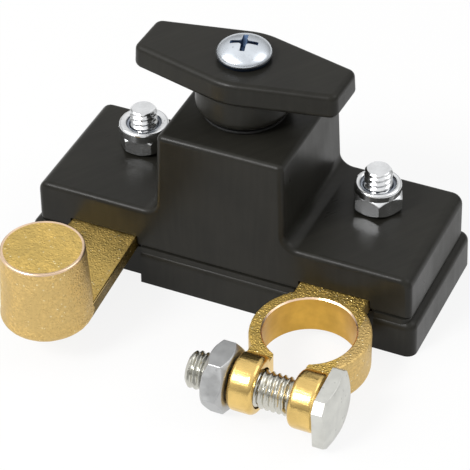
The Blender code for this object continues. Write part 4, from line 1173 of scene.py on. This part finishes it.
def make_floor(stage):
    """A wide pale floor that looks white but keeps a soft shadow."""
    half_size, white_near, white_far = 3000.0, 0.86, 0.3
    shape = bmesh.new()
    corners = ((-1, -1), (1, -1), (1, 1), (-1, 1))
    shape.faces.new([shape.verts.new((x * half_size, y * half_size, 0)) for x, y in corners])
    floor = piece_from(shape, "floor")
    made, nodes, shader = new_material("pale floor")
    colour = tuple(stage.floor)
    place = nodes.add("ShaderNodeTexCoord").outputs["Object"]
    patches = nodes.add("ShaderNodeTexNoise", inputs={"Scale": 3.0, "Vector": place}).outputs["Fac"]
    nodes.link(nodes.mix(patches, shade(colour, 0.99), shade(colour, 1.01)), shader.inputs["Base Color"])
    shader.inputs["Roughness"].default_value = 0.9
    shader.inputs["Specular IOR Level"].default_value = 0.0
    seen = nodes.add("ShaderNodeLightPath").outputs
    white = nodes.add("ShaderNodeEmission", inputs={"Color": (1.0, 1.0, 1.0, 1.0), "Strength": 1.0})
    straight = nodes.maths("MAXIMUM", seen["Is Camera Ray"],
                           nodes.maths("MAXIMUM", seen["Is Glossy Ray"], seen["Is Transmission Ray"]))
    far = nodes.add("ShaderNodeVectorMath", operation="LENGTH", inputs={0: place}).outputs["Value"]
    fading = nodes.ramp(far, 0.12, 0.7, white_near, white_far)
    share = nodes.maths("MAXIMUM", nodes.maths("MULTIPLY", seen["Is Camera Ray"], white_near), fading)
    blend = nodes.add("ShaderNodeMixShader", inputs={0: nodes.maths("MULTIPLY", straight, share),
                                                     1: shader.outputs[0], 2: white.outputs[0]})
    output = next(node for node in nodes.tree.nodes if node.type == "OUTPUT_MATERIAL")
    nodes.link(blend.outputs[0], output.inputs[0])
    floor.data.materials.append(made)


def make_sky(scene, stage):
    """Soft light from all round, stronger from above; white where the camera looks past the floor."""
    world = bpy.data.worlds.new("studio")
    scene.world = world
    world.use_nodes = True
    tree = world.node_tree
    tree.nodes.clear()
    nodes = Nodes(tree)
    towards = nodes.add("ShaderNodeTexCoord").outputs["Generated"]
    rise = nodes.add("ShaderNodeSeparateXYZ", inputs={0: towards}).outputs["Z"]
    soft = nodes.mix(nodes.ramp(rise, -0.1, 0.9), (0.42, 0.42, 0.41), (1.0, 1.0, 1.0))
    light = nodes.add("ShaderNodeBackground", inputs={"Color": soft, "Strength": stage.sky})
    white = nodes.add("ShaderNodeBackground", inputs={"Color": (1.0, 1.0, 1.0, 1.0), "Strength": 1.0})
    seen = nodes.add("ShaderNodeLightPath").outputs
    straight = nodes.maths("MAXIMUM", seen["Is Camera Ray"], seen["Is Transmission Ray"])
    mirrored = nodes.maths("MULTIPLY", seen["Is Glossy Ray"], nodes.ramp(rise, 0.08, 0.7))
    blend = nodes.add("ShaderNodeMixShader", inputs={0: nodes.maths("MAXIMUM", straight, mirrored),
                                                     1: light.outputs[0], 2: white.outputs[0]})
    output = nodes.add("ShaderNodeOutputWorld")
    nodes.link(blend.outputs[0], output.inputs[0])


def make_lamps():
    """Soft lamps on the right and the left, and a small one that draws the front edges.

    Each has a name, a place and a size in metres, and a power in watts."""
    lamps = (("right lamp", (0.75, 0.30, 0.75), 0.7, 2.2), ("left lamp", (-0.8, -0.5, 0.8), 0.9, 4.0),
             ("edge lamp", (-0.36, -0.70, 0.78), 0.3, 7.0))
    for name, place, size, power in lamps:
        light = bpy.data.lights.new(name, "AREA")
        light.energy = power
        light.size = size
        lamp = bpy.data.objects.new(name, light)
        bpy.context.scene.collection.objects.link(lamp)
        lamp.location = place
        lamp.rotation_euler = (-Vector(place)).to_track_quat("-Z", "Y").to_euler()


def make_camera(scene, stage):
    """The camera at the photograph's angle."""
    azimuth, elevation = stage.azimuth, stage.elevation
    ahead = Vector((-math.sin(azimuth) * math.cos(elevation), math.cos(azimuth) * math.cos(elevation),
                    -math.sin(elevation)))
    level = Vector((math.cos(azimuth), math.sin(azimuth), 0.0))
    down = ahead.cross(level)
    right = math.cos(stage.roll) * level + math.sin(stage.roll) * down
    down = -math.sin(stage.roll) * level + math.cos(stage.roll) * down
    lens = bpy.data.cameras.new("camera")
    lens.lens = stage.lens
    lens.sensor_width = 36.0
    lens.sensor_fit = "HORIZONTAL"
    lens.clip_start, lens.clip_end = 0.01, 20.0
    camera = bpy.data.objects.new("camera", lens)
    scene.collection.objects.link(camera)
    turn = Matrix((right, -down, -ahead)).transposed()
    camera.matrix_world = Matrix.Translation(Vector(stage.place)) @ turn.to_4x4()
    scene.camera = camera


# Operators

class SWITCH_OT_finishes(bpy.types.Operator):
    """Make the switch's materials"""
    bl_idname = "switch.finishes"
    bl_label = "Finishes"

    def execute(self, context):
        make_materials(context.scene)
        return {"FINISHED"}


class SWITCH_OT_housing(bpy.types.Operator):
    """Make the upper housing and the base tray"""
    bl_idname = "switch.housing"
    bl_label = "Housing and base"

    def execute(self, context):
        for maker, node in ((housing_shell, "upper_housing"), (tray_body, "base_tray")):
            piece = smooth(maker(context.scene.switch_housing))
            paint(piece, finish_named("moulded black"))
            settle(piece, "housing", "black_plastic", node)
        return {"FINISHED"}


class SWITCH_OT_post(bpy.types.Operator):
    """Make the battery post with its arm"""
    bl_idname = "switch.post"
    bl_label = "Battery post"

    def execute(self, context):
        settle(battery_post(context.scene.switch_brass), "housing", "cast_brass", "post_terminal")
        return {"FINISHED"}


class SWITCH_OT_clamp(bpy.types.Operator):
    """Make the split clamp ring with its arm"""
    bl_idname = "switch.clamp"
    bl_label = "Post clamp"

    def execute(self, context):
        settle(post_clamp(context.scene.switch_brass), "housing", "cast_brass", "clamp_terminal")
        return {"FINISHED"}


class SWITCH_OT_clamp_fasteners(bpy.types.Operator):
    """Make the clamp's bolt and nut"""
    bl_idname = "switch.clamp_fasteners"
    bl_label = "Clamp bolt and nut"

    def execute(self, context):
        settle(clamp_bolt_piece(context.scene.switch_fasteners), "housing", "zinc_plate", "clamp_bolt")
        settle(clamp_nut_piece(), "housing", "zinc_plate", "clamp_nut")
        return {"FINISHED"}


class SWITCH_OT_studs(bpy.types.Operator):
    """Make the stud bolts and their lock nuts"""
    bl_idname = "switch.studs"
    bl_label = "Studs and lock nuts"

    def execute(self, context):
        for side, word, turn, collar in ((-1, "left", 40.0, 5.4), (1, "right", 24.0, 5.0)):
            stud = stud_piece(side, word + "_stud", context.scene.switch_fasteners)
            settle(stud, "housing", "zinc_plate", word + "_stud_bolt")
            nut = lock_nut_piece(side, word + "_nut", turn, collar)
            settle(nut, "housing", "zinc_plate", word + "_lock_nut")
        return {"FINISHED"}


class SWITCH_OT_knob(bpy.types.Operator):
    """Make the lever knob and its screw"""
    bl_idname = "switch.knob"
    bl_label = "Knob"

    def execute(self, context):
        settle(knob_piece(context.scene.switch_knob), "rotor", "black_plastic", "knob")
        settle(knob_screw_piece(context.scene.switch_knob), "rotor", "zinc_plate", "knob_screw")
        return {"FINISHED"}


class SWITCH_OT_inner(bpy.types.Operator):
    """Give the inner pieces their finishes"""
    bl_idname = "switch.inner"
    bl_label = "Inner pieces"

    def execute(self, context):
        finishes = {"spindle": "bright zinc", "contact_spring": "bright zinc",
                    "rotor_carrier": "moulded brown", "contact_bridge": "contact copper",
                    "thrust_washer": "contact copper", "shaft_seal": "seal rubber",
                    "left_nut_insert": "nylon ring", "right_nut_insert": "nylon ring"}
        for node, finish in finishes.items():
            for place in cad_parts[node].material_slots:
                place.material = bpy.data.materials[finish]
        return {"FINISHED"}


class SWITCH_OT_stage(bpy.types.Operator):
    """Make the floor, the light and the camera"""
    bl_idname = "switch.stage"
    bl_label = "Stage"

    def execute(self, context):
        stage = context.scene.switch_stage
        make_floor(stage)
        make_sky(context.scene, stage)
        make_lamps()
        make_camera(context.scene, stage)
        context.scene.view_settings.view_transform = "Standard"
        return {"FINISHED"}


class SWITCH_PT_panel(bpy.types.Panel):
    """Buttons that build the switch piece by piece"""
    bl_idname = "SWITCH_PT_panel"
    bl_label = "Battery switch"
    bl_space_type = "VIEW_3D"
    bl_region_type = "UI"
    bl_category = "Switch"

    def draw(self, context):
        """One button for each operator, then each group's settings in a box."""
        layout = self.layout
        for operator in OPERATORS:
            layout.operator(operator.bl_idname)
        for name, group in SETTINGS.items():
            box = layout.box()
            for field in group.__annotations__:
                box.prop(getattr(context.scene, name), field)


SETTINGS = {"switch_housing": HousingSettings, "switch_knob": KnobSettings, "switch_brass": BrassSettings,
            "switch_fasteners": FastenerSettings, "switch_stage": StageSettings}
OPERATORS = (SWITCH_OT_finishes, SWITCH_OT_housing, SWITCH_OT_post, SWITCH_OT_clamp,
             SWITCH_OT_clamp_fasteners, SWITCH_OT_studs, SWITCH_OT_knob, SWITCH_OT_inner, SWITCH_OT_stage)


def register():
    """Register the classes and hang the settings on the scene."""
    for kind in (*SETTINGS.values(), *OPERATORS, SWITCH_PT_panel):
        bpy.utils.register_class(kind)
    for name, group in SETTINGS.items():
        setattr(bpy.types.Scene, name, PointerProperty(type=group))


def unregister():
    """Take the settings and the classes away again."""
    for name in SETTINGS:
        delattr(bpy.types.Scene, name)
    for kind in (SWITCH_PT_panel, *reversed(OPERATORS), *SETTINGS.values()):
        bpy.utils.unregister_class(kind)


def main():
    """Build the switch in order."""
    register()
    for operator in OPERATORS:
        getattr(bpy.ops.switch, operator.bl_idname.split(".")[1])()


if __name__ == "__main__":
    main()
